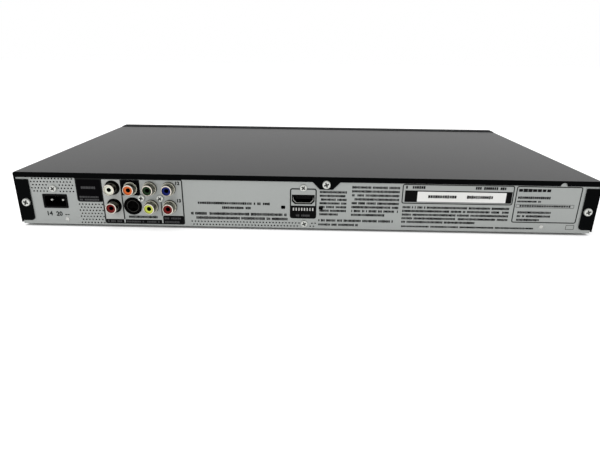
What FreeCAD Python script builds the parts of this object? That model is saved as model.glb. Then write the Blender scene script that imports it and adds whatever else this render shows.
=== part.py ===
import FreeCAD, Part
import math
import os

# Slim disc player with a tray: steel cover, jack panel, loader and boards.
# Millimetres. +Z is up, -Y is the front panel's side, +Y the jack panel's side.
# The origin is the centre of the bounding box, on the floor under the feet.

V = FreeCAD.Vector

# Flats round a turned shape: small fasteners and hidden rounds, and larger ones
small_sides = 12
fine_sides = 20
shank_sides = 6
recess_sides = 40

# Overall size
body_width = 430.0
body_height = 40.4
body_depth = 228.0
foot_height = 2.0
fascia_lip = 0.6
jack_reach = 7.5
button_proud = 0.8

# Sheet metal
sheet = 0.8
side_gap = 0.2
bend_r = 1.5
chassis_wall_h = 14.0
pad_h = 1.0
pad_half = 5.0
lap_tab_w = 24.0
lap = 6.0
panel_lip = 8.0

# Cover
cover_skirt_gap = 1.4
band_h = 4.0
ear_w = 10.3
ear_low = 2.8
ear_high = 34.8
ear_corner_r = 2.5
tab_x = -15.3
tab_top_w = 20.4
tab_foot_w = 9.6
tab_drop = 5.6
tab_screw_drop = 1.8
notch_from_side = 27.4
notch_r = 2.5
ear_screw_h = 17.2
side_screw_back = 120.0

# Screws: M3 through sheet metal
screw_r = 1.4
screw_hole_r = 1.55
screw_head_r = 3.1
screw_head_h = 1.5
screw_reach = 5.0
small_head_r = 2.65

# Front panel
fascia_wall = 2.2
fascia_depth = 13.0
fascia_corner_r = 2.0
rim_t = 1.5
rim_reach = 4.0
low_rim_t = 1.0
low_rim_reach = 3.0
low_rim_from_side = 41.0
board_rib_half = 1.7
slot_gap = 0.6
window_after_open = 24.0
window_before_stop = 20.0
window_h = 15.0
window_t = 1.6
window_seat = 1.4
window_mid_h = 25.0
module_t = 4.0
module_gap = 0.2
front_board_back = 9.6
board_t = 1.6

# Push buttons, each a cap with a flange behind the wall and a stem to its switch
button_gap = 0.3
button_mid_h = 25.0
button_w = 14.0
button_h = 6.0
power_w = 10.0
button_flange = 1.0
button_flange_t = 0.8
button_travel = 0.5
button_rest_gap = 0.15
stem_r = 1.2
switch_size = 6.0
switch_t = 3.0
switch_play = 0.1
power_from_side = 27.0
play_step = 34.0
stop_step = 22.0
open_step = 99.0

# Loader: everything is set out from the disc's centre line and the spindle
loader_from_side = 100.0
spindle_back = 76.4
tray_stroke = 140.0
frame_wall = 2.0
frame_base_h = 1.8
frame_base_t = 2.0
frame_top_h = 30.0
frame_front_back = 16.4
frame_rear = 123.0
deck_h = 13.0
deck_t = 2.0
deck_back = 28.0
guide_reach = 2.9
guide_t = 1.8
slide_gap = 0.3

# Tray
tray_margin = 5.2
tray_side_gap = 0.5
tray_rail_w = 3.0
tray_rail_t = 2.0
tray_base_h = 21.6
tray_floor_t = 1.6
tray_rim_h = 4.4
tray_rear = 104.0
disc_r = 60.0
disc_play = 0.8
small_disc_r = 40.0
small_disc_step = 0.6
tray_slot_half = 18.0
tray_front_t = 5.0
tray_front_low = 17.5
tray_front_h = 13.5
tray_front_lap = 5.0

# Gears: stub teeth, 20 degree flanks
gear_module = 1.25
drive_teeth = 28
pinion_teeth = 12
pressure = math.radians(20.0)
addendum = 0.8
dedendum = 1.05
backlash = 0.22
gear_h = 18.0
gear_t = 3.2
drive_gear_from_frame = 33.0
drive_gear_ahead = 43.0
pinion_ahead = 47.0
gear_post_r = 2.0
running_gap = 0.06
gear_boss_r = 3.4
web_t = 1.2
rack_rib_w = 3.2
pulley_r = 11.0
pulley_h = 15.4
pulley_t = 2.2
motor_pulley_r = 3.2
motor_pulley_x = -28.0
motor_ahead = 46.0
belt_w = 1.2
belt_gap = 0.65
belt_skin = 0.5
belt_t = 0.8
belt_steps = 12
loading_motor_r = 10.5
loading_motor_h = 9.2
motor_shaft_r = 0.75
motor_neck_r = 3.0

# Cam slider and traverse
tilt = math.radians(5.0)
pivot_behind = 76.0
pivot_r = 2.4
pivot_h = 13.5
traverse_half_w = 50.0
traverse_open_half_w = 38.0
traverse_front = 22.0
traverse_bar = 7.0
traverse_low_h = 11.0
traverse_t = 5.0
pivot_pin = 7.0
pivot_post_t = 7.0
cam_stroke = 24.0
cam_pin_r = 1.5
cam_pin_gap = 0.3
cam_pin_half_pitch = 22.0
cam_t = 3.0
cam_ahead = 28.0
cam_low_h = 1.5
cam_top_h = 17.0
cam_left = -52.0
cam_right = 28.0
cam_flange_reach = 3.6
cam_flange_t = 1.5

# Mechanism plate on its dampers
plate_h = 17.2
plate_t = 1.2
plate_half_w = 48.0
plate_front = 14.0
plate_rear = 74.0
damper_r = 4.0
damper_x = 44.0
damper_front = 9.0
damper_rear = 66.0
damper_flange_t = 0.8
damper_neck_r = 2.6
pin_gap = 0.05

# Spindle, turntable and clamper
disc_t = 1.2
lift_h = 24.7
turntable_r = 14.5
turntable_t = 1.0
cone_r = 7.4
cone_top_r = 5.4
cone_h = 2.2
spindle_shaft_r = 1.0
spindle_motor_r = 10.5
spindle_motor_low = 11.5
spindle_motor_top = 17.2
spindle_neck_r = 3.0
spindle_neck_top = 19.4
hub_gap = 0.3
bridge_half_l = 19.0
bridge_t = 1.6
bridge_hole_r = 13.0
clamper_lower_r = 15.0
clamper_neck_r = 12.2
clamper_flange_r = 15.8
clamper_gap = 0.4
clamper_t = 2.2
clamper_bore_r = 8.4

# Pickup sled
rod_x = 18.0
rod_r = 1.5
rod_h = 15.0
rod_gap = 0.05
rod_overhang = 2.8
sled_half_w = 23.0
sled_half_l = 10.0
sled_low_h = 12.4
sled_t = 6.2
sled_stroke = 34.0
lens_start = 24.0
yoke_half = 7.4
yoke_gap = 0.6
yoke_t = 1.6
yoke_h = 2.6
lens_r = 2.6
lens_play = 0.1
lens_carrier_t = 2.6
lens_dome = 0.8
lens_rise = 0.6
plate_open_half_w = 26.0
plate_open_lead = 1.0
plate_open_play = 1.5
rod_clip = 3.2
rod_fork_w = 5.4
screw_line_x = 31.0
lead_screw_r = 1.6
screw_line_h = 14.2
nut_gap = 0.25
feed_motor_r = 5.2
feed_motor_l = 14.0
feed_motor_front = -4.0
saddle_half_w = 6.4
saddle_l = 4.0

# Jack panel, measured across from the centre line and up from the chassis underside
jack_pitch = 14.0
jack_from_side = 114.0
jack_low_h = 15.3
shell_r = 4.15
shell_t = 0.5
collar_r = 5.0
collar_t = 2.0
jack_hole_r = 5.2
audio_hole_r = 6.3
insulator_set_back = 0.5
centre_hole_r = 1.6
centre_hole_mouth = 0.5
contact_l = 7.0
contact_t = 0.4
contact_w = 2.2
block_depth = 12.0
block_wall = 1.0
audio_block_w = 14.0
svideo_r = 6.4
svideo_shell_r = 4.6
svideo_face_r = 3.9
svideo_recess = 0.6
svideo_depth = 9.0
svideo_pin_hole = 0.5
svideo_pin_depth = 5.0
svideo_key_w = 2.6
svideo_key_h = 1.3
svideo_key_fall = 1.9
svideo_rim = 0.8
block_screw_low_h = 21.7
hdmi_x = 1.5
hdmi_h = 22.7
hdmi_w = 15.0
hdmi_t = 5.5
hdmi_chamfer = 2.2
hdmi_wall = 0.4
hdmi_depth = 11.0
hdmi_cutout_gap = 0.5
hdmi_set_back = 0.3
tongue_w = 11.4
tongue_t = 1.7
tongue_reach = 7.0
hdmi_screw_rise = 9.1
hdmi_screw_fall = 18.8
hdmi_low_screw_aside = 1.0

# Mains inlet
inlet_from_side = 28.0
inlet_h = 18.2
inlet_w = 18.4
inlet_t = 10.9
inlet_wall = 1.4
inlet_depth = 13.0
inlet_floor = 2.0
inlet_flange = 0.4
mains_pin_r = 1.2
mains_pin_pitch = 8.6
mains_pin_set_back = 2.5
inlet_screw_rise = 9.9
rivet_before_inlet = 6.8
rivet_near_h = 4.1
rivet_from_side = 37.8
rivet_far_h = 4.6
rivet_r = 1.5
rivet_t = 0.5

# Perforations: staggered rows of small square holes
vent_hole = 1.25
vent_step = 2.45
vent_gap = 0.9
vent_rise = 2.42
mains_vent_run = 14.6
mains_vent_h = 35.4
mains_vent_rows = 5
side_vent_after_jacks = 9.5
side_vent_before_inlet = 17.0
side_vent_h = 16.1
side_vent_rows = 7
low_vent_before_socket = 9.3
low_vent_before_jacks = 15.0
low_vent_h = 4.1
low_vent_rows = 2

# Boards
board_h = 8.0
main_board_gap = 7.5
main_past_jacks = 7.0
main_front = -62.0
board_rear_gap = 1.5
power_board_w = 52.0
power_board_gap = 5.0
power_front = -20.0
stand_half = 3.0
transformer_w = 22.0
transformer_l = 20.0
transformer_h = 17.0
transformer_aside = 4.0
coil_share = 0.8
core_share = 0.7
capacitor_r = 6.5
capacitor_h = 19.0
capacitor_inset = 10.0
capacitor_behind = 24.0
small_capacitor_r = 4.5
small_capacitor_h = 15.0
small_capacitor_ahead = 31.0
small_capacitor_pitch = 14.0
heatsink_l = 30.0
heatsink_h = 20.0
heatsink_t = 1.5
heatsink_foot = 8.0
heatsink_inset = 4.0
chip_h = 1.6
decoder_size = 28.0
decoder_aside = 17.0
memory_w = 18.0
memory_l = 12.0
memory_inset = 20.0
memory_behind = 14.0
driver_w = 10.0
driver_l = 20.0
driver_inset = 66.0
driver_ahead = 18.0
amplifier_w = 12.0
amplifier_l = 8.0
amplifier_inset = 40.0
amplifier_behind = 20.0
ribbon_w = 24.0
ribbon_t = 0.4
ribbon_rise = 4.0
ribbon_run = 6.0
ribbon_lap = 1.0

foot_r = 8.0
foot_inset_x = 34.0
foot_inset_y = 26.0

# Places that follow from the sizes above
jack_tip_y = (body_depth + jack_reach + button_proud) / 2
panel_y = jack_tip_y - jack_reach
front_y = panel_y - body_depth
cover_y = panel_y + sheet
half_w = body_width / 2
power_x = half_w - power_from_side
play_x = power_x - play_step
stop_x = play_x - stop_step
loader_x = loader_from_side - half_w
open_x = loader_x + open_step
window_left = open_x + window_after_open
window_right = stop_x - window_before_stop
window_x = (window_left + window_right) / 2
window_w = window_right - window_left
tray_half_w = disc_r + disc_play + tray_margin
frame_half_w = tray_half_w + tray_rail_w + tray_side_gap + frame_wall
tray_front_half_w = tray_half_w + tray_front_lap
jack_first_x = half_w - jack_from_side
jack_x = [jack_first_x + jack_pitch * i for i in range(4)]
inlet_x = half_w - inlet_from_side
main_left = loader_x + frame_half_w + main_board_gap
main_right = jack_x[3] + main_past_jacks
power_right = half_w - power_board_gap
power_left = power_right - power_board_w
floor_z = foot_height
floor_top = floor_z + sheet
top_z = foot_height + body_height
panel_in_y = panel_y - sheet
panel_half_w = half_w - sheet - side_gap
fascia_rear_y = front_y + fascia_depth
spindle_y = front_y + spindle_back
drive_r = gear_module * drive_teeth / 2
pinion_r = gear_module * pinion_teeth / 2
plate_open_front = lens_start - sled_half_l - plate_open_lead
plate_open_rear = lens_start + sled_half_l + sled_stroke + plate_open_play
rod_front = plate_open_front - rod_overhang
rod_rear = plate_open_rear + rod_overhang
lens_carrier_h = sled_low_h + sled_t + lens_rise + lens_play


def up(height):
    """Height above the chassis underside, in the part's own frame."""
    return foot_height + height


def box(x0, x1, y0, y1, z0, z1):
    return Part.makeBox(x1 - x0, y1 - y0, z1 - z0, V(x0, y0, z0))


def ring(r, sides, height, place):
    """Corners of a regular polygon at radius r, as points of the part's frame."""
    turn = 2 * math.pi / sides
    return [place(r, (k + 0.5) * turn, height) for k in range(sides)]


def upright(x, y):
    return lambda r, a, h: V(x + r * math.cos(a), y + r * math.sin(a), h)


def along_y(x, z):
    return lambda r, a, h: V(x + r * math.cos(a), h, z + r * math.sin(a))


def along_x(y, z):
    return lambda r, a, h: V(h, y + r * math.cos(a), z + r * math.sin(a))


def closed_wire(corners):
    return Part.makePolygon([*corners, corners[0]])


def prism(place, h0, h1, r, sides):
    face = Part.Face(closed_wire(ring(r, sides, h0, place)))
    return face.extrude(place(0, 0, h1) - place(0, 0, h0))


def post(x, y, z0, z1, r, sides=small_sides):
    """A pin whose corners lie on radius r, so that it turns freely in its well."""
    return prism(upright(x, y), z0, z1, r, sides)


def well(x, y, z0, z1, r, sides=small_sides):
    """A hole whose flats lie on radius r."""
    return prism(upright(x, y), z0, z1, r / math.cos(math.pi / sides), sides)


def bar_y(x, z, y0, y1, r, sides=small_sides):
    return prism(along_y(x, z), y0, y1, r, sides)


def bore_y(x, z, y0, y1, r, sides=small_sides):
    return prism(along_y(x, z), y0, y1, r / math.cos(math.pi / sides), sides)


def bar_x(y, z, x0, x1, r, sides=small_sides):
    return prism(along_x(y, z), x0, x1, r, sides)


def bore_x(y, z, x0, x1, r, sides=small_sides):
    return prism(along_x(y, z), x0, x1, r / math.cos(math.pi / sides), sides)


def turned(profile, place, sides):
    """A closed (radius, height) outline turned about an axis, with flats."""
    faces = []
    for (r0, h0), (r1, h1) in zip(profile, profile[1:] + profile[:1]):
        if r0 == 0 and r1 == 0:
            continue
        if h0 == h1:
            rings = [closed_wire(ring(r, sides, h0, place)) for r in (r0, r1) if r > 0]
            faces.append(Part.makeFace(rings, "Part::FaceMakerBullseye"))
            continue
        low, high = ring(r0, sides, h0, place), ring(r1, sides, h1, place)
        for k in range(sides):
            m = (k + 1) % sides
            faces.append(Part.Face(closed_wire([low[k], low[m], high[m], high[k]])))
    shell = Part.makeShell(faces)
    shell.sewShape()
    solid = Part.Solid(shell)
    if solid.Volume < 0:
        solid.reverse()
    return solid


def true_post(x, y, z0, z1, r):
    """A true cylinder, for faces that a disc or a plug meets."""
    return Part.makeCylinder(r, z1 - z0, V(x, y, z0), V(0, 0, 1))


def true_bar_y(x, z, y0, y1, r):
    return Part.makeCylinder(r, y1 - y0, V(x, y0, z), V(0, 1, 0))


def join(first, *others):
    return first.multiFuse(list(others)).removeSplitter()


def cut(first, *others):
    return first.cut(Part.makeCompound(list(others)))


def wire_xz(points, y):
    return closed_wire([V(x, y, z) for x, z in points])


def slab_y(points, y0, y1):
    """A flat outline in X and Z, thick along Y."""
    return Part.Face(wire_xz(points, y0)).extrude(V(0, y1 - y0, 0))


def slab_z(points, z0, z1):
    """A flat outline in X and Y, thick along Z."""
    return Part.Face(closed_wire([V(x, y, z0) for x, y in points])).extrude(V(0, 0, z1 - z0))


def slab_x(points, x0, x1):
    """A flat outline in Y and Z, thick along X."""
    return Part.Face(closed_wire([V(x0, y, z) for y, z in points])).extrude(V(x1 - x0, 0, 0))


def round_edges(solid, r, wanted):
    """Fillet the edges whose middle point passes the test."""
    edges = [e for e in solid.Edges if wanted(e.CenterOfMass)]
    return solid.makeFillet(r, edges)


def save(name, *solids):
    shape = solids[0] if len(solids) == 1 else Part.makeCompound(list(solids))
    shape.exportStep(f"parts/{name}.step")


os.makedirs("parts", exist_ok=True)


# Chassis tray with side walls, pads for the loader and posts for the boards
chassis_rear = panel_y - panel_lip - side_gap
floor_front = fascia_rear_y + side_gap
loader_left = loader_x - frame_half_w
loader_right = loader_x + frame_half_w
loader_front_y = front_y + frame_front_back
loader_rear_y = spindle_y + frame_rear
frame_screw_inset = 6.0
loader_pads = [
    (loader_x + sx * (frame_half_w - frame_screw_inset), y)
    for sx in (-1, 1)
    for y in (spindle_y - pinion_ahead - frame_screw_inset, loader_rear_y - frame_screw_inset)
]
board_rear = panel_y - board_rear_gap
side_y = panel_y - side_screw_back
side_z = up(chassis_wall_h / 2)
post_inset = 6.0
main_posts = [
    (x, y)
    for x in (main_left + post_inset, main_right - post_inset)
    for y in (main_front + post_inset, board_rear - post_inset)
]
power_posts = [
    (x, y)
    for x in (power_left + post_inset, power_right - post_inset)
    for y in (power_front + post_inset, board_rear - post_inset)
]


def stud(x, y, z0, z1, half):
    return box(x - half, x + half, y - half, y + half, z0, z1)


def make_chassis():
    base = box(-panel_half_w, panel_half_w, floor_front, chassis_rear, floor_z, floor_top)
    walls = [
        box(-panel_half_w, -panel_half_w + sheet, fascia_rear_y + rim_reach, chassis_rear,
            floor_z, floor_z + chassis_wall_h),
        box(panel_half_w - sheet, panel_half_w, fascia_rear_y + rim_reach, chassis_rear,
            floor_z, floor_z + chassis_wall_h),
    ]
    tabs = [
        box(x - lap_tab_w / 2, x + lap_tab_w / 2, chassis_rear - lap, chassis_rear + lap,
            floor_top, floor_top + sheet)
        for x in (-panel_half_w * 0.7, 0.0, panel_half_w * 0.7)
    ]
    pads = [stud(x, y, floor_top, up(frame_base_h), pad_half) for x, y in loader_pads]
    posts = [stud(x, y, floor_top, up(board_h), stand_half) for x, y in main_posts + power_posts]
    holes = [well(x, y, floor_top, up(frame_base_h) + 1, screw_r, shank_sides) for x, y in loader_pads]
    holes.append(bore_x(side_y, side_z, -half_w, half_w, screw_hole_r, shank_sides))
    return cut(join(base, *walls, *tabs, *pads, *posts), *holes)


save("bottom_chassis", make_chassis())

feet_places = [
    (sx * (half_w - foot_inset_x), sy)
    for sx in (-1, 1)
    for sy in (front_y + foot_inset_y, panel_y - foot_inset_y)
]
save("feet", *[post(x, y, 0, foot_height, foot_r, fine_sides) for x, y in feet_places])


# Jack panel: one bent sheet with cut-outs for what is behind it
jack_top_h = jack_low_h + jack_pitch
video_jacks = {
    "blue": (jack_x[0], jack_top_h),
    "red_video": (jack_x[0], jack_low_h),
    "green": (jack_x[1], jack_top_h),
    "yellow": (jack_x[1], jack_low_h),
    "orange": (jack_x[2], jack_top_h),
}
audio_jacks = {
    "white": (jack_x[3], jack_top_h),
    "red_audio": (jack_x[3], jack_low_h),
}
jacks = {**video_jacks, **audio_jacks}
svideo_place = (jack_x[2], jack_low_h)
block_screws = [
    (jack_x[1] + jack_pitch / 2, block_screw_low_h),
    (jack_x[0] + jack_pitch / 2, block_screw_low_h),
]
hdmi_screws = [
    (hdmi_x, hdmi_h + hdmi_screw_rise),
    (hdmi_x - hdmi_low_screw_aside, hdmi_h - hdmi_screw_fall),
]
inlet_screw = (inlet_x, inlet_h + inlet_screw_rise)
connector_screws = [*block_screws, *hdmi_screws, inlet_screw]
rivets = [(inlet_x - rivet_before_inlet, rivet_near_h), (rivet_from_side - half_w, rivet_far_h)]
ear_screws = [(half_w - 6.4, ear_screw_h), (-half_w + 6.4, ear_screw_h)]
tab_screw = (tab_x, body_height - band_h - tab_screw_drop)


def vent_row(x0, x1, height, blocked):
    """Square holes along a row, leaving out those that a connector or tab covers."""
    count = int((x1 - x0) / vent_step) + 1
    row = []
    for i in range(count):
        x = x0 + i * vent_step
        if any(math.hypot(x - bx, height - bz) < br for bx, bz, br in blocked):
            continue
        s = vent_hole / 2
        row.append([(x - s, up(height - s)), (x + s, up(height - s)),
                    (x + s, up(height + s)), (x - s, up(height + s))])
    return row


def vent_field(x0, x1, top_h, rows, blocked):
    holes = []
    for i in range(rows):
        shift = vent_step / 2 if i % 2 else 0.0
        holes += vent_row(x0 + shift, x1, top_h - i * vent_rise, blocked)
    return holes


def hdmi_outline(w, t, chamfer):
    x, z = hdmi_x, up(hdmi_h)
    return [
        (x - w / 2 + chamfer, z - t / 2), (x + w / 2 - chamfer, z - t / 2),
        (x + w / 2, z - t / 2 + chamfer), (x + w / 2, z + t / 2),
        (x - w / 2, z + t / 2), (x - w / 2, z - t / 2 + chamfer),
    ]


def make_rear_panel():
    top = top_z - sheet - side_gap
    outline = [(-panel_half_w, floor_z), (panel_half_w, floor_z), (panel_half_w, top), (-panel_half_w, top)]
    wires = [wire_xz(outline, panel_in_y)]

    def hole(x, height, r, sides):
        corner_r = r / math.cos(math.pi / sides)
        wires.append(closed_wire(ring(corner_r, sides, panel_in_y, along_y(x, up(height)))))

    for x, height in video_jacks.values():
        hole(x, height, jack_hole_r, small_sides)
    for x, height in audio_jacks.values():
        hole(x, height, audio_hole_r, small_sides)
    hole(*svideo_place, svideo_r + side_gap, fine_sides)
    for x, height in [*connector_screws, *ear_screws, tab_screw]:
        hole(x, height, screw_hole_r, shank_sides)
    gap = hdmi_cutout_gap
    wires.append(wire_xz(hdmi_outline(hdmi_w + 2 * gap, hdmi_t + 2 * gap, hdmi_chamfer), panel_in_y))
    w, t = inlet_w / 2, inlet_t / 2
    z = up(inlet_h)
    wires.append(wire_xz([(inlet_x - w, z - t), (inlet_x + w, z - t),
                          (inlet_x + w, z + t), (inlet_x - w, z + t)], panel_in_y))
    screw_clear = small_head_r + vent_gap
    blocked = [(x, height, screw_clear) for x, height in connector_screws]
    fields = vent_field(inlet_x - mains_vent_run, half_w - ear_w - vent_step,
                        mains_vent_h, mains_vent_rows, blocked)
    fields += vent_field(jack_x[3] + side_vent_after_jacks, inlet_x - side_vent_before_inlet,
                         side_vent_h, side_vent_rows, blocked)
    fields += vent_field(hdmi_x - low_vent_before_socket, jack_x[0] - low_vent_before_jacks,
                         low_vent_h, low_vent_rows, blocked)
    wires += [wire_xz(points, panel_in_y) for points in fields]
    plate = Part.makeFace(wires, "Part::FaceMakerBullseye").extrude(V(0, sheet, 0))
    lip = box(-panel_half_w, panel_half_w, panel_y - panel_lip, panel_in_y, floor_z, floor_top)
    return join(plate, lip)


save("rear_panel", make_rear_panel())


# Cover: bent sheet over the top and sides, with a band, tab and ears at the rear
def make_cover():
    front = fascia_rear_y + side_gap
    low = floor_z + cover_skirt_gap
    outer = box(-half_w, half_w, front, cover_y, low, top_z)
    outer = round_edges(outer, bend_r, lambda c: abs(c.z - top_z) < 0.1 and abs(abs(c.x) - half_w) < 0.1)
    inner = box(-half_w + sheet, half_w - sheet, front - 1, panel_y, low - 1, top_z - sheet)
    window = box(-half_w + ear_w, half_w - ear_w, panel_y - 1, cover_y + 1, low - 1, top_z - band_h)
    shell = cut(outer, inner, window)
    relief_x = half_w - sheet
    for side in (-1, 1):
        x0, x1 = sorted((side * relief_x, side * (half_w - ear_w - 1)))
        shell = cut(
            shell,
            box(x0, x1, panel_y, cover_y + 1, up(ear_high), top_z - band_h),
            box(x0, x1, panel_y, cover_y + 1, low - 1, up(ear_low)),
        )
    tab_top = top_z - band_h
    tab = slab_y([(tab_x - tab_top_w / 2, tab_top), (tab_x - tab_foot_w / 2, tab_top - tab_drop),
                  (tab_x + tab_foot_w / 2, tab_top - tab_drop), (tab_x + tab_top_w / 2, tab_top)],
                 panel_y, cover_y)
    shell = join(shell, tab)
    holes = [
        bore_y(x, up(h), panel_y - 1, cover_y + 1, screw_hole_r, shank_sides)
        for x, h in [*ear_screws, tab_screw]
    ]
    holes.append(bore_x(side_y, side_z, -half_w - 1, half_w + 1, screw_hole_r, shank_sides))
    holes.append(bore_y(notch_from_side - half_w, top_z - band_h, panel_y - 1, cover_y + 1, notch_r))
    shell = cut(shell, *holes)
    inner_corner = half_w - ear_w
    return round_edges(
        shell, ear_corner_r,
        lambda c: abs(c.y - (panel_y + cover_y) / 2) < 0.05 and abs(c.z - up(ear_low)) < 0.1
        and abs(abs(c.x) - inner_corner) < 0.1,
    )


save("top_cover", make_cover())


def pan_screw(x, y, z, direction, head_r, reach):
    """A screw whose head's underside is at the given point, head towards direction."""
    dx, dy, dz = direction
    if dx:
        head = bar_x(y, z, *sorted((x, x + dx * screw_head_h)), head_r)
        shank = bar_x(y, z, *sorted((x, x - dx * reach)), screw_r, shank_sides)
    elif dy:
        head = bar_y(x, z, y, y + screw_head_h, head_r)
        shank = bar_y(x, z, y - reach, y, screw_r, shank_sides)
    else:
        head = post(x, y, z, z + screw_head_h, head_r)
        shank = post(x, y, z - reach, z, screw_r, shank_sides)
    return join(head, shank)


cover_screws = [
    pan_screw(x, cover_y, up(h), (0, 1, 0), screw_head_r, screw_reach)
    for x, h in [*ear_screws, tab_screw]
]
cover_screws += [
    pan_screw(sx * half_w, side_y, side_z, (sx, 0, 0), screw_head_r, screw_reach)
    for sx in (-1, 1)
]
save("cover_screws", *cover_screws)
save("connector_screws", *[
    pan_screw(x, panel_y, up(h), (0, 1, 0), small_head_r, screw_reach)
    for x, h in connector_screws
])
save("panel_rivets", *[bar_y(x, up(h), panel_y, panel_y + rivet_t, rivet_r) for x, h in rivets])


# Phono jacks
def jack_shell(x, height, collared):
    """A plug's sleeve grips the barrel; the collar, where there is one, fills the panel's hole."""
    z = up(height)
    shell = true_bar_y(x, z, panel_in_y, jack_tip_y, shell_r)
    if collared:
        shell = join(shell, bar_y(x, z, panel_in_y, panel_y + collar_t, collar_r))
    return cut(shell, bar_y(x, z, panel_in_y - 1, jack_tip_y + 1, shell_r - shell_t))


def jack_insulator(x, height):
    """The coloured ring: its mouth leads the plug's pin into the centre hole."""
    mouth = centre_hole_r + centre_hole_mouth
    front = jack_tip_y - insulator_set_back
    profile = [
        (centre_hole_r, panel_in_y), (shell_r - shell_t, panel_in_y), (shell_r - shell_t, front),
        (mouth, front), (centre_hole_r, front - centre_hole_mouth),
    ]
    return turned(profile, along_y(x, up(height)), small_sides)


def jack_contact(x, height):
    """Two leaves that grip the plug's pin, joined at the back."""
    y1 = panel_in_y
    y0 = y1 - contact_l
    z = up(height)
    leaves = [
        box(x - contact_w / 2, x + contact_w / 2, y0, y1, z - centre_hole_r - contact_t, z - centre_hole_r),
        box(x - contact_w / 2, x + contact_w / 2, y0, y1, z + centre_hole_r, z + centre_hole_r + contact_t),
        box(x - contact_w / 2, x + contact_w / 2, y0, y0 + contact_t,
            z - centre_hole_r, z + centre_hole_r),
    ]
    return join(*leaves)


save("rca_shells", *[jack_shell(*place, True) for place in video_jacks.values()],
     *[jack_shell(*place, False) for place in audio_jacks.values()])
save("rca_contacts", *[jack_contact(*place) for place in jacks.values()])
save("rca_insulator_white", jack_insulator(*jacks["white"]))
save("rca_insulators_red", jack_insulator(*jacks["red_audio"]), jack_insulator(*jacks["red_video"]))
for colour in ("orange", "green", "blue", "yellow"):
    save(f"rca_insulator_{colour}", jack_insulator(*jacks[colour]))


def jack_block(x0, x1, z0, z1, places):
    """Moulded body behind the panel with a pocket for each contact."""
    block = box(x0, x1, panel_in_y - block_depth, panel_in_y, z0, z1)
    pockets = [
        box(x - contact_w / 2, x + contact_w / 2, panel_in_y - contact_l, panel_in_y + 1,
            up(h) - centre_hole_r - contact_t, up(h) + centre_hole_r + contact_t)
        for x, h in places
    ]
    return cut(block, *pockets)


def make_jack_blocks():
    low = up(board_h + board_t)
    high = up(jack_top_h) + collar_r + block_wall
    split = jack_x[3] - jack_pitch / 2
    video = jack_block(jack_x[0] - jack_pitch / 2, split - side_gap, low, high, video_jacks.values())
    sx, sz = svideo_place[0], up(svideo_place[1])
    socket = bar_y(sx, sz, panel_y - svideo_depth, panel_y, svideo_r, fine_sides)
    holes = [
        bar_y(x, up(h), panel_y - screw_reach, panel_y, screw_r, shank_sides)
        for x, h in block_screws
    ]
    video = cut(video, socket, *holes)
    audio = jack_block(split + side_gap, split + audio_block_w, low, high, audio_jacks.values())
    return video, audio


save("jack_blocks", *make_jack_blocks())


# S-video socket: a round body with a shell gap round the contact face
def make_svideo():
    x, z = svideo_place[0], up(svideo_place[1])
    back = panel_y - svideo_depth
    floor_y = back + block_wall
    profile = [
        (0, back), (svideo_r, back), (svideo_r, panel_y + svideo_rim),
        (svideo_shell_r, panel_y + svideo_rim), (svideo_shell_r, floor_y), (0, floor_y),
    ]
    body = turned(profile, along_y(x, z), fine_sides)
    face_y = panel_y - svideo_recess
    face = bar_y(x, z, floor_y, face_y, svideo_face_r, fine_sides)
    key = box(x - svideo_key_w / 2, x + svideo_key_w / 2, face_y - svideo_pin_depth, face_y + 1,
              z - svideo_key_fall - svideo_key_h, z - svideo_key_fall)
    half = svideo_pin_hole
    pins = [
        box(x + sx * px - half, x + sx * px + half, face_y - svideo_pin_depth, face_y + 1,
            z + pz - half, z + pz + half)
        for sx in (-1, 1)
        for px, pz in ((2.0, 0.4), (1.5, 2.2))
    ]
    return body, cut(face, key, *pins)


svideo_body, svideo_face = make_svideo()
save("svideo_socket", svideo_body)
save("svideo_insulator", svideo_face)


# HDMI socket: a folded metal shell round a contact tongue
def make_hdmi():
    back = panel_y - hdmi_depth
    front = panel_y - hdmi_set_back
    outer = slab_y(hdmi_outline(hdmi_w, hdmi_t, hdmi_chamfer), back, front)
    inner = slab_y(
        hdmi_outline(hdmi_w - 2 * hdmi_wall, hdmi_t - 2 * hdmi_wall, hdmi_chamfer - hdmi_wall * 0.4),
        back + block_wall, front + 1)
    z = up(hdmi_h)
    leg_w = 1.2
    legs = [
        box(hdmi_x + sx * (hdmi_w / 2 - leg_w) - leg_w / 2, hdmi_x + sx * (hdmi_w / 2 - leg_w) + leg_w / 2,
            back + leg_w, back + 3 * leg_w, up(board_h + board_t), z - hdmi_t / 2 + hdmi_chamfer + leg_w)
        for sx in (-1, 1)
    ]
    shell = join(cut(outer, inner), *[cut(leg, inner) for leg in legs])
    tongue = box(hdmi_x - tongue_w / 2, hdmi_x + tongue_w / 2, back + block_wall,
                 back + block_wall + tongue_reach, z - tongue_t / 2 + hdmi_wall, z + tongue_t / 2 + hdmi_wall)
    return shell, tongue


hdmi_shell, hdmi_tongue = make_hdmi()
save("hdmi_shell", hdmi_shell)
save("hdmi_tongue", hdmi_tongue)


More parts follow.
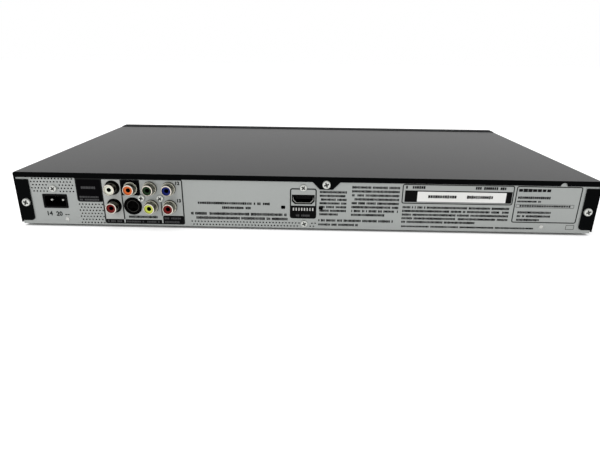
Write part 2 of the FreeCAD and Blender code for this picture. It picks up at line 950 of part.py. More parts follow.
# Mains inlet: a rectangular cup with two pins
def make_inlet():
    x, z = inlet_x, up(inlet_h)
    w, t = inlet_w / 2, inlet_t / 2
    back = panel_y - inlet_depth
    sleeve = box(x - w, x + w, back, panel_y + inlet_flange, z - t, z + t)
    collar = box(x - w - inlet_wall, x + w + inlet_wall, back, panel_in_y,
                 z - t - inlet_wall, z + t + inlet_wall)
    lug = box(x - screw_head_r - 1, x + screw_head_r + 1, panel_in_y - screw_reach, panel_in_y,
              z + t, z + inlet_screw_rise + screw_head_r)
    support = box(x - w, x + w, back, back + inlet_floor, up(board_h + board_t), z - t)
    cavity = box(x - w + inlet_wall, x + w - inlet_wall, back + inlet_floor, panel_y + 1,
                 z - t + inlet_wall, z + t - inlet_wall)
    hole = bar_y(x, z + inlet_screw_rise, panel_in_y - screw_reach - 1, panel_y, screw_r, shank_sides)
    pin_places = [x - mains_pin_pitch / 2, x + mains_pin_pitch / 2]
    pin_holes = [bar_y(px, z, back - 1, back + inlet_floor + 1, mains_pin_r) for px in pin_places]
    housing = cut(join(sleeve, collar, lug, support), cavity, hole, *pin_holes)
    pins = [
        bar_y(px, z, back - inlet_floor, panel_y - mains_pin_set_back, mains_pin_r)
        for px in pin_places
    ]
    return housing, pins


inlet_housing, inlet_pins = make_inlet()
save("ac_inlet_housing", inlet_housing)
save("ac_inlet_pins", *inlet_pins)


# Boards and what stands on them
board_z = up(board_h)
board_top = board_z + board_t


def make_boards():
    main = box(main_left, main_right, main_front, board_rear, board_z, board_top)
    x, half = svideo_place[0], svideo_r - 1
    notch_y = panel_y - svideo_depth - side_gap
    main = cut(main, box(x - half, x + half, notch_y, panel_y, board_z - 1, board_top + 1))
    power = box(power_left, power_right, power_front, board_rear, board_z, board_top)
    return main, power


main_board, power_board = make_boards()
save("main_board", main_board)
save("power_board", power_board)


def chip(x, y, w, length):
    return box(x - w / 2, x + w / 2, y - length / 2, y + length / 2, board_top, board_top + chip_h)


main_mid_y = (main_front + board_rear) / 2
save("board_chips",
     chip((main_left + main_right) / 2 - decoder_aside, main_mid_y, decoder_size, decoder_size),
     chip(main_left + memory_inset, main_mid_y + memory_behind, memory_w, memory_l),
     chip(main_right - driver_inset, main_mid_y - driver_ahead, driver_w, driver_l),
     chip(main_right - amplifier_inset, main_mid_y + amplifier_behind, amplifier_w, amplifier_l))

power_mid_x = (power_left + power_right) / 2
power_mid_y = (power_front + board_rear) / 2


def make_transformer():
    x, y = power_mid_x + transformer_aside, power_mid_y
    w, length = transformer_w / 2, transformer_l / 2
    coil_w, coil_h = w * core_share, transformer_h * coil_share
    core = box(x - w, x + w, y - length / 2, y + length / 2, board_top, board_top + transformer_h)
    coil = box(x - coil_w, x + coil_w, y - length, y + length, board_top, board_top + coil_h)
    return join(core, coil)


save("power_transformer", make_transformer())
save("power_capacitors",
     post(power_left + capacitor_inset, power_mid_y + capacitor_behind,
          board_top, board_top + capacitor_h, capacitor_r, fine_sides),
     *[post(power_left + capacitor_inset + i * small_capacitor_pitch, power_mid_y - small_capacitor_ahead,
            board_top, board_top + small_capacitor_h, small_capacitor_r) for i in range(2)])


def make_heatsink():
    x, y = power_left + heatsink_inset, power_mid_y
    points = [
        (x, board_top), (x + heatsink_foot, board_top), (x + heatsink_foot, board_top + heatsink_t),
        (x + heatsink_t, board_top + heatsink_t), (x + heatsink_t, board_top + heatsink_h),
        (x, board_top + heatsink_h),
    ]
    return slab_y(points, y - heatsink_l / 2, y + heatsink_l / 2)


save("power_heatsink", make_heatsink())


# Front panel
buttons = {
    "open_close_button": (open_x, button_w),
    "stop_button": (stop_x, button_w),
    "play_button": (play_x, button_w),
    "power_button": (power_x, power_w),
}


board_front_y = front_y + front_board_back
front_board_left = open_x - button_w
front_board_right = power_x + power_w
board_low = up(window_mid_h - window_h / 2 - 4)
board_high = up(window_mid_h + window_h / 2 + 2)
board_rib_x = [
    front_board_left + board_rib_half,
    (open_x + button_w / 2 + window_x - window_w / 2) / 2,
    (stop_x - button_w / 2 + window_x + window_w / 2) / 2,
    (play_x + power_x) / 2,
    front_board_right - board_rib_half,
]


def make_fascia():
    z0, z1 = floor_z, top_z + fascia_lip
    outer = box(-half_w, half_w, front_y, fascia_rear_y, z0, z1)
    outer = round_edges(outer, fascia_corner_r, lambda c: abs(c.y - front_y) < 0.1 or (
        abs(abs(c.x) - half_w) < 0.1 and abs(c.z - z1) < 0.1))
    inner = box(-half_w + fascia_wall, half_w - fascia_wall, front_y + fascia_wall, fascia_rear_y + 1,
                floor_top, z1 - fascia_wall)
    rim_z = top_z - sheet - side_gap
    rim_x = half_w - sheet - side_gap
    rim = cut(
        box(-rim_x, rim_x, fascia_rear_y - 2, fascia_rear_y + rim_reach, rim_z - rim_t, rim_z),
        box(-rim_x + rim_t, rim_x - rim_t, fascia_rear_y - 3, fascia_rear_y + rim_reach + 1,
            z0, rim_z - rim_t),
    )
    low_rim_x = half_w - low_rim_from_side
    low_rim = box(-low_rim_x, low_rim_x, fascia_rear_y - 8, fascia_rear_y + low_rim_reach,
                  floor_top, floor_top + low_rim_t)
    ribs = [
        box(x - board_rib_half, x + board_rib_half, front_y + fascia_wall - 0.1, board_front_y,
            board_low, board_high)
        for x in board_rib_x
    ]
    shell = join(cut(outer, inner), rim, low_rim, *ribs)
    half_slot = tray_front_half_w + slot_gap
    cuts = [box(loader_x - half_slot, loader_x + half_slot, front_y - 1, front_y + fascia_wall + 1,
                up(tray_front_low) - slot_gap, up(tray_front_low + tray_front_h) + slot_gap)]
    w, h = window_w / 2, window_h / 2
    z = up(window_mid_h)
    cuts.append(box(window_x - w, window_x + w, front_y - 1, front_y + window_t, z - h, z + h))
    seat = window_seat
    cuts.append(box(window_x - w + seat, window_x + w - seat, front_y, front_y + fascia_wall + 1,
                    z - h + seat, z + h - seat))
    for x, width in buttons.values():
        bw, bh = width / 2 + button_gap, button_h / 2 + button_gap
        zb = up(button_mid_h)
        cuts.append(box(x - bw, x + bw, front_y - 1, front_y + fascia_wall + 1, zb - bh, zb + bh))
    return cut(shell, *cuts)


save("front_fascia", make_fascia())
save("display_window", box(window_x - window_w / 2, window_x + window_w / 2, front_y, front_y + window_t,
                           up(window_mid_h) - window_h / 2, up(window_mid_h) + window_h / 2))

save("front_board", box(front_board_left, front_board_right, board_front_y, board_front_y + board_t,
                        board_low, board_high))
save("display_module", box(window_x - window_w / 2 + 4, window_x + window_w / 2 - 4,
                           board_front_y - module_t - module_gap, board_front_y,
                           up(window_mid_h) - window_h / 2 + 1.5, up(window_mid_h) + window_h / 2 - 1.5))


def key_switch(x):
    z = up(button_mid_h)
    s = switch_size / 2
    return box(x - s, x + s, board_front_y - switch_t, board_front_y, z - s, z + s)


save("key_switches", *[key_switch(x) for x, _ in buttons.values()])


def push_button(x, width):
    z = up(button_mid_h)
    w, h = width / 2, button_h / 2
    cap = box(x - w, x + w, front_y - button_proud, front_y + fascia_wall + button_rest_gap, z - h, z + h)
    flange_y = front_y + fascia_wall + button_rest_gap
    f = button_flange + button_gap
    flange = box(x - w - f, x + w + f, flange_y, flange_y + button_flange_t, z - h - f, z + h + f)
    stem_end = board_front_y - switch_t - button_travel - switch_play
    stem = bar_y(x, z, flange_y, stem_end, stem_r)
    return join(cap, flange, stem)


for name, (x, width) in buttons.items():
    save(name, push_button(x, width))


# Flat ribbon from the front board back to the main board
def make_ribbon():
    x0, x1 = window_x - ribbon_w / 2, window_x + ribbon_w / 2
    y0, y1 = board_front_y + board_t, main_front + post_inset
    y_bend, y_lie = y0 + ribbon_run, main_front + ribbon_lap
    high = board_low + ribbon_rise
    points = [
        (y0, high), (y_bend, high), (y_lie, board_top), (y1, board_top),
        (y1, board_top + ribbon_t), (y_lie, board_top + ribbon_t),
        (y_bend, high + ribbon_t), (y0, high + ribbon_t),
    ]
    return slab_x(points, x0, x1)


save("front_ribbon", make_ribbon())


# Loader frame: base ring, side walls with guide ribs, deck for the gears, pivot posts
drive_x = loader_x + frame_half_w - drive_gear_from_frame
drive_y = spindle_y - drive_gear_ahead
pinion_y = spindle_y - pinion_ahead
centre_distance = drive_r + pinion_r
pinion_x = drive_x - math.sqrt(centre_distance**2 - (pinion_y - drive_y) ** 2)
motor_x, motor_y = loader_x + motor_pulley_x, spindle_y - motor_ahead
pivot_y = spindle_y + pivot_behind
pivot_z = up(pivot_h)
cam_front_y = spindle_y - cam_ahead - cam_t
cam_rear_y = spindle_y - cam_ahead
rail_z = up(tray_base_h) + (tray_rim_h - tray_rail_t) / 2 - 0.8
gear_z = up(gear_h)
post_top = gear_z + gear_t - slide_gap


def make_frame():
    x0, x1 = loader_left, loader_right
    y0, y1 = loader_front_y, loader_rear_y
    z0 = up(frame_base_h)
    base = box(x0, x1, y0, y1, z0, z0 + frame_base_t)
    opening = box(loader_x - traverse_half_w - pivot_pin - 1, loader_x + traverse_half_w + pivot_pin + 1,
                  cam_front_y - cam_pin_gap, pivot_y - pivot_post_t, z0 - 1, z0 + frame_base_t + 1)
    mid_opening = box(loader_x - traverse_half_w + 4, loader_x + traverse_half_w - 4,
                      cam_front_y - cam_pin_gap, pivot_y + traverse_bar + 2, z0 - 1, z0 + frame_base_t + 1)
    base = cut(base, opening, mid_opening)
    walls = [
        box(x0, x0 + frame_wall, y0, y1, z0, up(frame_top_h)),
        box(x1 - frame_wall, x1, y0, y1, z0, up(frame_top_h)),
        box(x0, x1, y1 - frame_wall, y1, z0, up(tray_base_h) - 2),
        box(x0, x1, y0, y0 + frame_wall, z0, up(deck_h)),
    ]
    inner = frame_half_w - frame_wall
    ribs = []
    for side in (-1, 1):
        a, b = sorted((loader_x + side * inner, loader_x + side * (inner - guide_reach)))
        ribs.append(box(a, b, y0, y1, rail_z - slide_gap - guide_t, rail_z - slide_gap))
        high = rail_z + tray_rail_t + slide_gap
        ribs.append(box(a, b, y0, y1, high, high + guide_t))
    deck = box(x0, x1, y0, spindle_y - deck_back - frame_wall * 2, up(deck_h), up(deck_h + deck_t))
    guide_top = up(cam_top_h) - cam_flange_t - slide_gap
    guide_y1 = cam_front_y - cam_pin_gap
    guide = box(x0, x1, guide_y1 - frame_wall, guide_y1, z0, guide_top)
    bosses = [
        post(drive_x, drive_y, up(deck_h + deck_t), gear_z - running_gap, gear_boss_r),
        post(drive_x, drive_y, gear_z - running_gap, post_top, gear_post_r),
        post(pinion_x, pinion_y, up(deck_h + deck_t), post_top, gear_post_r),
    ]
    posts = []
    for side in (-1, 1):
        a, b = sorted((loader_x + side * (traverse_half_w + slide_gap),
                       loader_x + side * (traverse_half_w + pivot_pin + 1)))
        posts.append(box(a, b, pivot_y - pivot_post_t / 2, pivot_y + pivot_post_t / 2, z0,
                         pivot_z + pivot_post_t / 2))
    frame = join(base, *walls, *ribs, deck, guide, *bosses, *posts)
    reach = traverse_half_w + pivot_pin + 2
    holes = [bore_x(pivot_y, pivot_z, loader_x - reach, loader_x + reach, pivot_r + running_gap)]
    holes += [post(x, y, z0 - 1, z0 + frame_base_t + 1, screw_r, shank_sides) for x, y in loader_pads]
    holes.append(post(motor_x, motor_y, up(deck_h) - 1, up(deck_h + deck_t) + 1, motor_neck_r))
    return cut(frame, *holes)


save("loader_frame", make_frame())
save("loader_screws", *[
    pan_screw(x, y, up(frame_base_h) + frame_base_t, (0, 0, 1), small_head_r, frame_base_t + pad_h)
    for x, y in loader_pads
])


# Gear teeth: each flank is a chord of the involute
def roll(angle):
    return math.tan(angle) - angle


def half_tooth(r, pitch_r, teeth):
    """Half the tooth's angle at radius r."""
    base_r = pitch_r * math.cos(pressure)
    at_pitch = math.pi / (2 * teeth) - backlash / (2 * pitch_r)
    if r <= base_r:
        return at_pitch + roll(pressure)
    return at_pitch + roll(pressure) - roll(math.acos(base_r / r))


def gear_slab(x, y, teeth, first_angle, z0, z1):
    pitch_r = gear_module * teeth / 2
    root_r = pitch_r - dedendum * gear_module
    tip_r = pitch_r + addendum * gear_module
    radii = (root_r, tip_r)
    points = []
    for i in range(teeth):
        mid = first_angle + 2 * math.pi * i / teeth
        for r, side in [(r, -1) for r in radii] + [(r, 1) for r in reversed(radii)]:
            a = mid + side * half_tooth(r, pitch_r, teeth)
            points.append((x + r * math.cos(a), y + r * math.sin(a)))
    return slab_z(points, z0, z1)


mesh_angle = math.atan2(pinion_y - drive_y, pinion_x - drive_x)
pinion_gap_angle = mesh_angle + math.pi + mesh_angle * drive_teeth / pinion_teeth
pinion_tooth_angle = pinion_gap_angle + math.pi / pinion_teeth


def make_drive_gear():
    z0, z1 = gear_z, gear_z + gear_t
    gear = gear_slab(drive_x, drive_y, drive_teeth, 0.0, z0, z1)
    rim_r = drive_r - dedendum * gear_module - 2.0
    groove = cut(
        post(drive_x, drive_y, z0 + web_t, z1 + 1, rim_r, fine_sides),
        post(drive_x, drive_y, z0, z1 + 2, gear_boss_r + 1),
    )
    bore = well(drive_x, drive_y, z0 - 1, z1 + 1, gear_post_r + running_gap)
    return cut(gear, groove, bore)


save("drive_gear", make_drive_gear())


def grooved_wheel(x, y, r, z0, z1):
    """A belt wheel with a V groove."""
    z_mid = (z0 + z1) / 2
    profile = [(0, z0), (r, z0), (r - belt_w, z_mid), (r, z1), (0, z1)]
    return turned(profile, upright(x, y), fine_sides)


def make_pulley_gear():
    z0 = up(pulley_h)
    z1 = z0 + pulley_t
    pinion = gear_slab(pinion_x, pinion_y, pinion_teeth, pinion_tooth_angle, z1, gear_z + gear_t)
    wheel = grooved_wheel(pinion_x, pinion_y, pulley_r, z0, z1)
    bore = well(pinion_x, pinion_y, z0 - 1, gear_z + gear_t + 1, gear_post_r + running_gap)
    return cut(join(pinion, wheel), bore)


save("pulley_gear", make_pulley_gear())


def make_motor_pulley():
    z0 = up(pulley_h)
    z1 = z0 + pulley_t
    bore = well(motor_x, motor_y, z0 - 1, z1 + 1, motor_shaft_r + pin_gap)
    return cut(grooved_wheel(motor_x, motor_y, motor_pulley_r, z0, z1), bore)


save("motor_pulley", make_motor_pulley())


def make_belt():
    """A flat loop that clears both pulleys' grooves: two straight runs and two bends."""
    dx, dy = motor_x - pinion_x, motor_y - pinion_y
    length = math.hypot(dx, dy)
    line = math.atan2(dy, dx)
    z_mid = up(pulley_h) + pulley_t / 2

    def loop(extra):
        big, small = pulley_r - belt_w + extra, motor_pulley_r - belt_w + extra
        lean = math.acos((big - small) / length)
        points = []
        for x, y, r, start, sweep, steps in (
            (pinion_x, pinion_y, big, line + lean, 2 * (math.pi - lean), belt_steps),
            (motor_x, motor_y, small, line - lean, 2 * lean, belt_steps // 2),
        ):
            for k in range(steps + 1):
                a = start + sweep * k / steps
                points.append(V(x + r * math.cos(a), y + r * math.sin(a), z_mid - belt_t / 2))
        return closed_wire(points)

    face = Part.makeFace([loop(belt_gap + belt_skin), loop(belt_gap)], "Part::FaceMakerBullseye")
    return face.extrude(V(0, 0, belt_t))


save("loading_belt", make_belt())


def make_loading_motor():
    top = up(deck_h)
    can = post(motor_x, motor_y, top - loading_motor_h, top, loading_motor_r, fine_sides)
    neck = post(motor_x, motor_y, top, top + deck_t, motor_neck_r)
    shaft = post(motor_x, motor_y, top, up(pulley_h + pulley_t), motor_shaft_r)
    return join(can, neck, shaft)


save("loading_motor", make_loading_motor())


# Tray with the disc recess, side rails and rack
tray_front_y = front_y + tray_front_t
tray_back_y = spindle_y + tray_rear
tray_z = up(tray_base_h)


def make_rack():
    """Teeth towards the drive gear; a gap is level with the gear's tooth."""
    pitch = math.pi * gear_module
    line_x = drive_x + drive_r
    tip_x = line_x - addendum * gear_module
    root_x = line_x + dedendum * gear_module
    half = pitch / 4 - backlash / 2
    tip_half = half - addendum * gear_module * math.tan(pressure)
    root_half = half + dedendum * gear_module * math.tan(pressure)
    last = int(tray_stroke / pitch) + 1
    z0 = gear_z + 0.4
    points = []
    for i in range(-2, last):
        y = drive_y + (i + 0.5) * pitch
        points += [(root_x, y - root_half), (tip_x, y - tip_half),
                   (tip_x, y + tip_half), (root_x, y + root_half)]
    y_end = points[-1][1] + 0.6
    y_start = points[0][1] - 0.6
    back_x = root_x + rack_rib_w
    points += [(root_x, y_end), (back_x, y_end), (back_x, y_start), (root_x, y_start)]
    return slab_z(points, z0, tray_z)


def make_tray():
    x0, x1 = loader_x - tray_half_w, loader_x + tray_half_w
    top = tray_z + tray_rim_h
    plate = box(x0, x1, tray_front_y, tray_back_y, tray_z, top)
    rails = [
        box(x0 - tray_rail_w, x0, loader_front_y + slide_gap, tray_back_y, rail_z, rail_z + tray_rail_t),
        box(x1, x1 + tray_rail_w, loader_front_y + slide_gap, tray_back_y, rail_z, rail_z + tray_rail_t),
    ]
    recess = true_post(loader_x, spindle_y, tray_z + tray_floor_t, top + 1, disc_r + disc_play)
    small = post(loader_x, spindle_y, tray_z + tray_floor_t - small_disc_step, top, small_disc_r + disc_play,
                 recess_sides)
    slot_y = spindle_y
    slot = join(
        post(loader_x, slot_y, tray_z - 1, top + 1, tray_slot_half),
        box(loader_x - tray_slot_half, loader_x + tray_slot_half, slot_y, tray_back_y + 1,
            tray_z - 1, top + 1),
    )
    tray = join(plate, *rails, make_rack())
    return cut(tray, recess, small, slot)


save("tray", make_tray())


def make_tray_front():
    z0 = up(tray_front_low)
    x0, x1 = loader_x - tray_front_half_w, loader_x + tray_front_half_w
    bar = box(x0, x1, front_y, tray_front_y, z0, z0 + tray_front_h)
    return round_edges(bar, 0.8, lambda c: abs(c.y - front_y) < 0.01)


save("tray_front", make_tray_front())


# Cam slider: two sloping slots that carry the traverse's pins
pin_arm = pivot_behind + cam_ahead
pin_drop = pin_arm * math.sin(tilt)
pin_z = pivot_z


def make_cam_slider():
    slider = box(loader_x + cam_left, loader_x + cam_right, cam_front_y, cam_rear_y,
                 up(cam_low_h), up(cam_top_h))
    flange = box(loader_x + cam_left, loader_x + cam_right, cam_front_y - cam_flange_reach, cam_front_y,
                 up(cam_top_h) - cam_flange_t, up(cam_top_h))
    slots = []
    r = cam_pin_r + cam_pin_gap
    slope = math.atan2(pin_drop, cam_stroke)
    nx, nz = -math.sin(slope) * r, math.cos(slope) * r
    for side in (-1, 1):
        xh = loader_x + side * cam_pin_half_pitch
        xl, zl = xh - cam_stroke, pin_z - pin_drop
        y0, y1 = cam_front_y - 1, cam_rear_y + 1
        slots += [
            bar_y(xh, pin_z, y0, y1, r),
            bar_y(xl, zl, y0, y1, r),
            slab_y([(xh + nx, pin_z + nz), (xh - nx, pin_z - nz), (xl - nx, zl - nz), (xl + nx, zl + nz)],
                   y0, y1),
        ]
    return cut(join(slider, flange), join(*slots))


save("cam_slider", make_cam_slider())


def make_traverse():
    x0, x1 = loader_x - traverse_half_w, loader_x + traverse_half_w
    y0, y1 = spindle_y - traverse_front, pivot_y + traverse_bar / 2
    z0, z1 = up(traverse_low_h), up(traverse_low_h + traverse_t)
    ring = cut(
        box(x0, x1, y0, y1, z0, z1),
        box(loader_x - traverse_open_half_w, loader_x + traverse_open_half_w, y0 + traverse_bar,
            y1 - traverse_bar, z0 - 1, z1 + 1),
    )
    pins = [
        bar_x(pivot_y, pivot_z, x0 - pivot_pin, x0 + 1, pivot_r),
        bar_x(pivot_y, pivot_z, x1 - 1, x1 + pivot_pin, pivot_r),
    ]
    pins += [
        bar_y(loader_x + side * cam_pin_half_pitch, pin_z, cam_front_y + cam_pin_gap, y0 + 1, cam_pin_r)
        for side in (-1, 1)
    ]
    return join(ring, *pins)


save("traverse_frame", make_traverse())

damper_places = [
    (loader_x + side * damper_x, spindle_y + y)
    for side in (-1, 1)
    for y in (-damper_front, damper_rear)
]


def make_damper(x, y):
    """A grommet under the plate whose neck stands through it."""
    z0 = up(traverse_low_h + traverse_t)
    base = post(x, y, z0, up(plate_h), damper_r)
    neck = post(x, y, up(plate_h), up(plate_h + plate_t) + damper_flange_t, damper_neck_r)
    return join(base, neck)


save("rubber_dampers", *[make_damper(x, y) for x, y in damper_places])


def rod_fork(x, y0, z, r, plate_z):
    """A tab under the plate, slotted from below for a rod."""
    tab = box(x - rod_fork_w / 2, x + rod_fork_w / 2, y0, y0 + rod_clip, z - r, plate_z)
    seat_z = z + r * math.cos(math.pi / small_sides)
    return cut(tab, box(x - r, x + r, y0 - 1, y0 + rod_clip + 1, z - r - 1, seat_z))


def make_plate():
    z0, z1 = up(plate_h), up(plate_h + plate_t)
    y0, y1 = spindle_y - plate_front, spindle_y + plate_rear
    plate = box(loader_x - plate_half_w, loader_x + plate_half_w, y0, y1, z0, z1)
    opening = box(loader_x - plate_open_half_w, loader_x + screw_line_x + lead_screw_r + 1.4,
                  spindle_y + plate_open_front, spindle_y + plate_open_rear, z0 - 1, z1 + 1)
    motor_x = loader_x + screw_line_x
    motor_y0 = spindle_y + feed_motor_front
    motor_gap = box(motor_x - feed_motor_r, motor_x + feed_motor_r, motor_y0 - slide_gap,
                    motor_y0 + feed_motor_l + slide_gap, z0 - 1, z1 + 1)
    neck = post(loader_x, spindle_y, z0 - 1, z1 + 1, spindle_neck_r)
    grips = [post(x, y, z0 - 1, z1 + 1, damper_neck_r) for x, y in damper_places]
    clips = []
    for side in (-1, 1):
        x = loader_x + side * rod_x
        for yc in (spindle_y + rod_front, spindle_y + rod_rear - rod_clip):
            clips.append(rod_fork(x, yc, up(rod_h), rod_r, z0))
    clips.append(rod_fork(loader_x + screw_line_x, spindle_y + rod_rear - rod_clip, up(screw_line_h),
                          lead_screw_r + pin_gap, z0))
    return join(cut(plate, opening, motor_gap, neck, *grips), *clips)


save("mecha_plate", make_plate())
save("guide_rods", *[
    bar_y(loader_x + side * rod_x, up(rod_h), spindle_y + rod_front, spindle_y + rod_rear, rod_r)
    for side in (-1, 1)
])


# Spindle motor and turntable: the shaft turns in the motor's neck
def make_spindle_motor():
    can = post(loader_x, spindle_y, up(spindle_motor_low), up(spindle_motor_top), spindle_motor_r, fine_sides)
    neck = post(loader_x, spindle_y, up(spindle_motor_top), up(spindle_neck_top), spindle_neck_r)
    bore = well(loader_x, spindle_y, up(spindle_motor_low) + 1, up(spindle_neck_top) + 1,
                spindle_shaft_r + pin_gap)
    return cut(join(can, neck), bore)


save("spindle_motor", make_spindle_motor())


def make_turntable():
    seat = up(lift_h)
    under = seat - turntable_t
    hub = up(spindle_neck_top) + hub_gap
    foot = up(spindle_motor_low) + 1 + hub_gap
    profile = [
        (0, foot), (spindle_shaft_r, foot), (spindle_shaft_r, hub), (spindle_neck_r + 1, hub),
        (spindle_neck_r + 1, under), (turntable_r, under), (turntable_r, seat), (cone_r, seat),
        (cone_top_r, seat + cone_h), (0, seat + cone_h),
    ]
    return turned(profile, upright(loader_x, spindle_y), fine_sides)


save("turntable", make_turntable())


# Feed motor and lead screw along the sled's path
def make_feed_drive():
    x, z = loader_x + screw_line_x, up(screw_line_h)
    y0 = spindle_y + feed_motor_front
    y1 = y0 + feed_motor_l
    can = bar_y(x, z, y0, y1, feed_motor_r)
    saddle = box(x - saddle_half_w, x + saddle_half_w, y0 + saddle_l, y0 + 2 * saddle_l, z, up(plate_h))
    bore = bore_y(x, z, y0 + 2, y1 + 1, motor_shaft_r + pin_gap)
    motor = cut(join(can, saddle), bore)
    shaft = bar_y(x, z, y0 + 3, y1 + slide_gap, motor_shaft_r)
    screw = bar_y(x, z, y1 + slide_gap, spindle_y + rod_rear - slide_gap, lead_screw_r)
    return motor, join(shaft, screw)


feed_motor, lead_screw = make_feed_drive()
save("feed_motor", feed_motor)
save("lead_screw", lead_screw)

lens_y = spindle_y + lens_start


def make_sled():
    z0, z1 = up(sled_low_h), up(sled_low_h + sled_t)
    y0, y1 = lens_y - sled_half_l, lens_y + sled_half_l
    body = box(loader_x - sled_half_w, loader_x + sled_half_w, y0, y1, z0, z1)
    yokes = []
    for side in (-1, 1):
        inner = yoke_half + yoke_gap
        a, b = sorted((loader_x + side * inner, loader_x + side * (inner + yoke_t)))
        yokes.append(box(a, b, lens_y - yoke_half, lens_y + yoke_half, z1, z1 + yoke_h))
    x, z = loader_x + screw_line_x, up(screw_line_h)
    grip = lead_screw_r + nut_gap
    arm = box(loader_x + sled_half_w, x + grip + 1, lens_y - 3, lens_y + 3, z - grip - 1, z + grip + 1)
    bores = [
        bore_y(loader_x + side * rod_x, up(rod_h), y0 - 1, y1 + 1, rod_r + rod_gap)
        for side in (-1, 1)
    ]
    slot = box(x - grip, x + grip, lens_y - 4, lens_y + 4, z - grip, z + grip + 2)
    return cut(join(body, *yokes, arm), *bores, slot)


save("pickup_sled", make_sled())


def make_lens():
    z0 = up(lens_carrier_h)
    z1 = z0 + lens_carrier_t
    s = yoke_half - 1
    carrier = box(loader_x - yoke_half, loader_x + yoke_half, lens_y - s, lens_y + s, z0, z1)
    rim = post(loader_x, lens_y, z1, z1 + lens_dome, lens_r + 0.8)
    return join(carrier, rim)


save("objective_lens", make_lens())


# Clamp bridge across the frame, with the puck hanging in its hole
bridge_z = up(frame_top_h)


def make_bridge():
    plate = box(loader_left, loader_right, spindle_y - bridge_half_l, spindle_y + bridge_half_l,
                bridge_z, bridge_z + bridge_t)
    hole = well(loader_x, spindle_y, bridge_z - 1, bridge_z + bridge_t + 1, bridge_hole_r, fine_sides)
    ribs = [
        box(loader_left + 8, loader_right - 8, y, y + frame_wall,
            bridge_z + bridge_t, bridge_z + bridge_t + 2)
        for y in (spindle_y - bridge_half_l, spindle_y + bridge_half_l - frame_wall)
    ]
    return cut(join(plate, *ribs), hole)


save("clamp_bridge", make_bridge())


def make_clamper():
    low = up(lift_h) + disc_t + clamper_gap
    plate_top = bridge_z + bridge_t + slide_gap
    profile = [
        (clamper_bore_r, low), (clamper_lower_r, low), (clamper_lower_r, low + clamper_t),
        (clamper_neck_r, low + clamper_t), (clamper_neck_r, plate_top), (clamper_flange_r, plate_top),
        (clamper_flange_r, plate_top + 1.2), (0, plate_top + 1.2), (0, low + clamper_t),
        (clamper_bore_r, low + clamper_t),
    ]
    return turned(profile, upright(loader_x, spindle_y), fine_sides)


save("clamper_puck", make_clamper())
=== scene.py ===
# %% [markdown]
# A slim disc player, dressed for its portrait from behind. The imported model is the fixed
# frame: every piece below is made at its real size and place around it, in metres.

# %% Load the frame
import math
import bmesh
import bpy
from mathutils import Matrix, Vector


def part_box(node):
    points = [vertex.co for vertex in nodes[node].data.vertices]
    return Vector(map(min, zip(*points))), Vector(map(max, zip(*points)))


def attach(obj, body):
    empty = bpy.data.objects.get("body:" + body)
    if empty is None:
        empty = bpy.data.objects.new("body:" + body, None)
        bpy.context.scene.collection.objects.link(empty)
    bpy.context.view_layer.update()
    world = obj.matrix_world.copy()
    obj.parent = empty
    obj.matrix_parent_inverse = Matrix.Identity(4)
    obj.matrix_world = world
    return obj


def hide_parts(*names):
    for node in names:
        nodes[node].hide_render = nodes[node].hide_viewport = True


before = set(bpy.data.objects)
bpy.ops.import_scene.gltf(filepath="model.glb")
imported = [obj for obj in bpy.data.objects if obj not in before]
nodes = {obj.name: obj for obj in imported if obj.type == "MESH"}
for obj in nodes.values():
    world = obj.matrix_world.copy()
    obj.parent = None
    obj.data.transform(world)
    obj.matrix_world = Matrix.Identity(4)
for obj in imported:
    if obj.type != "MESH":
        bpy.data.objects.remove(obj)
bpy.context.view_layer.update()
mm = 0.001

# %% [markdown]
# The camera is placed first, so that every later look is through the right lens. It
# stands behind the player, a little above it. Its place and its three directions come
# from matching corners of the cover and sockets on the jack panel. A pinhole of 470
# pixels for an image 600 pixels wide is a 28 mm lens on a 36 mm sensor.

# %% Place the camera
image_width = 600
pixel_focus = 470.54
camera_place = Vector((-0.66, 443.81, 129.35)) * mm
right = Vector((-0.999758, -0.017776, 0.012963))
down = Vector((-0.018374, 0.350570, -0.936356))
forward = Vector((0.012100, -0.936368, -0.350812))
lens = bpy.data.cameras.new("portrait_lens")
lens.sensor_width = 36
lens.lens = pixel_focus * lens.sensor_width / image_width
lens.clip_start = 0.01
camera = bpy.data.objects.new("portrait_camera", lens)
camera.matrix_world = Matrix.Translation(camera_place) @ Matrix((
    (right.x, -down.x, -forward.x, 0),
    (right.y, -down.y, -forward.y, 0),
    (right.z, -down.z, -forward.z, 0),
    (0, 0, 0, 1),
))
scene = bpy.context.scene
scene.collection.objects.link(camera)
scene.camera = camera
scene.view_settings.view_transform = "Standard"
print(f"lens {lens.lens:.1f} mm")

# %% [markdown]
# A material, a world and a Geometry Nodes tree are all nodes joined by wires. Written
# out one by one they fill pages, so three short helpers do the handwork: one adds a node
# with its settings, one joins a row of wires, and one opens a tree with named sockets.
# What is left in each tree below is its recipe.

# %% Write the helpers that add and join nodes
def add_node(tree, kind, values=None, **modes):
    """Adds a node with its modes, such as an operation, and its plain inputs by name or number."""
    node = tree.nodes.new(kind)
    for mode, choice in modes.items():
        setattr(node, mode, choice)
    for socket, value in (values or {}).items():
        node.inputs[socket].default_value = value
    return node


def wire(tree, *wires):
    """Joins nodes. Each wire is a node and its output, then a node and its input."""
    for source, output, target, socket in wires:
        tree.links.new(source.outputs[output], target.inputs[socket])


def new_tree(name, kind, inputs, outputs):
    """Opens a node tree with named sockets, and the nodes that hold its inputs and outputs."""
    tree = bpy.data.node_groups.new(name, kind)
    for label, (stuff, value) in inputs.items():
        socket = tree.interface.new_socket(name=label, in_out="INPUT", socket_type=f"NodeSocket{stuff}")
        if value is not None:
            socket.default_value = value
    for label, stuff in outputs.items():
        tree.interface.new_socket(name=label, in_out="OUTPUT", socket_type=f"NodeSocket{stuff}")
    return tree, add_node(tree, "NodeGroupInput"), add_node(tree, "NodeGroupOutput")


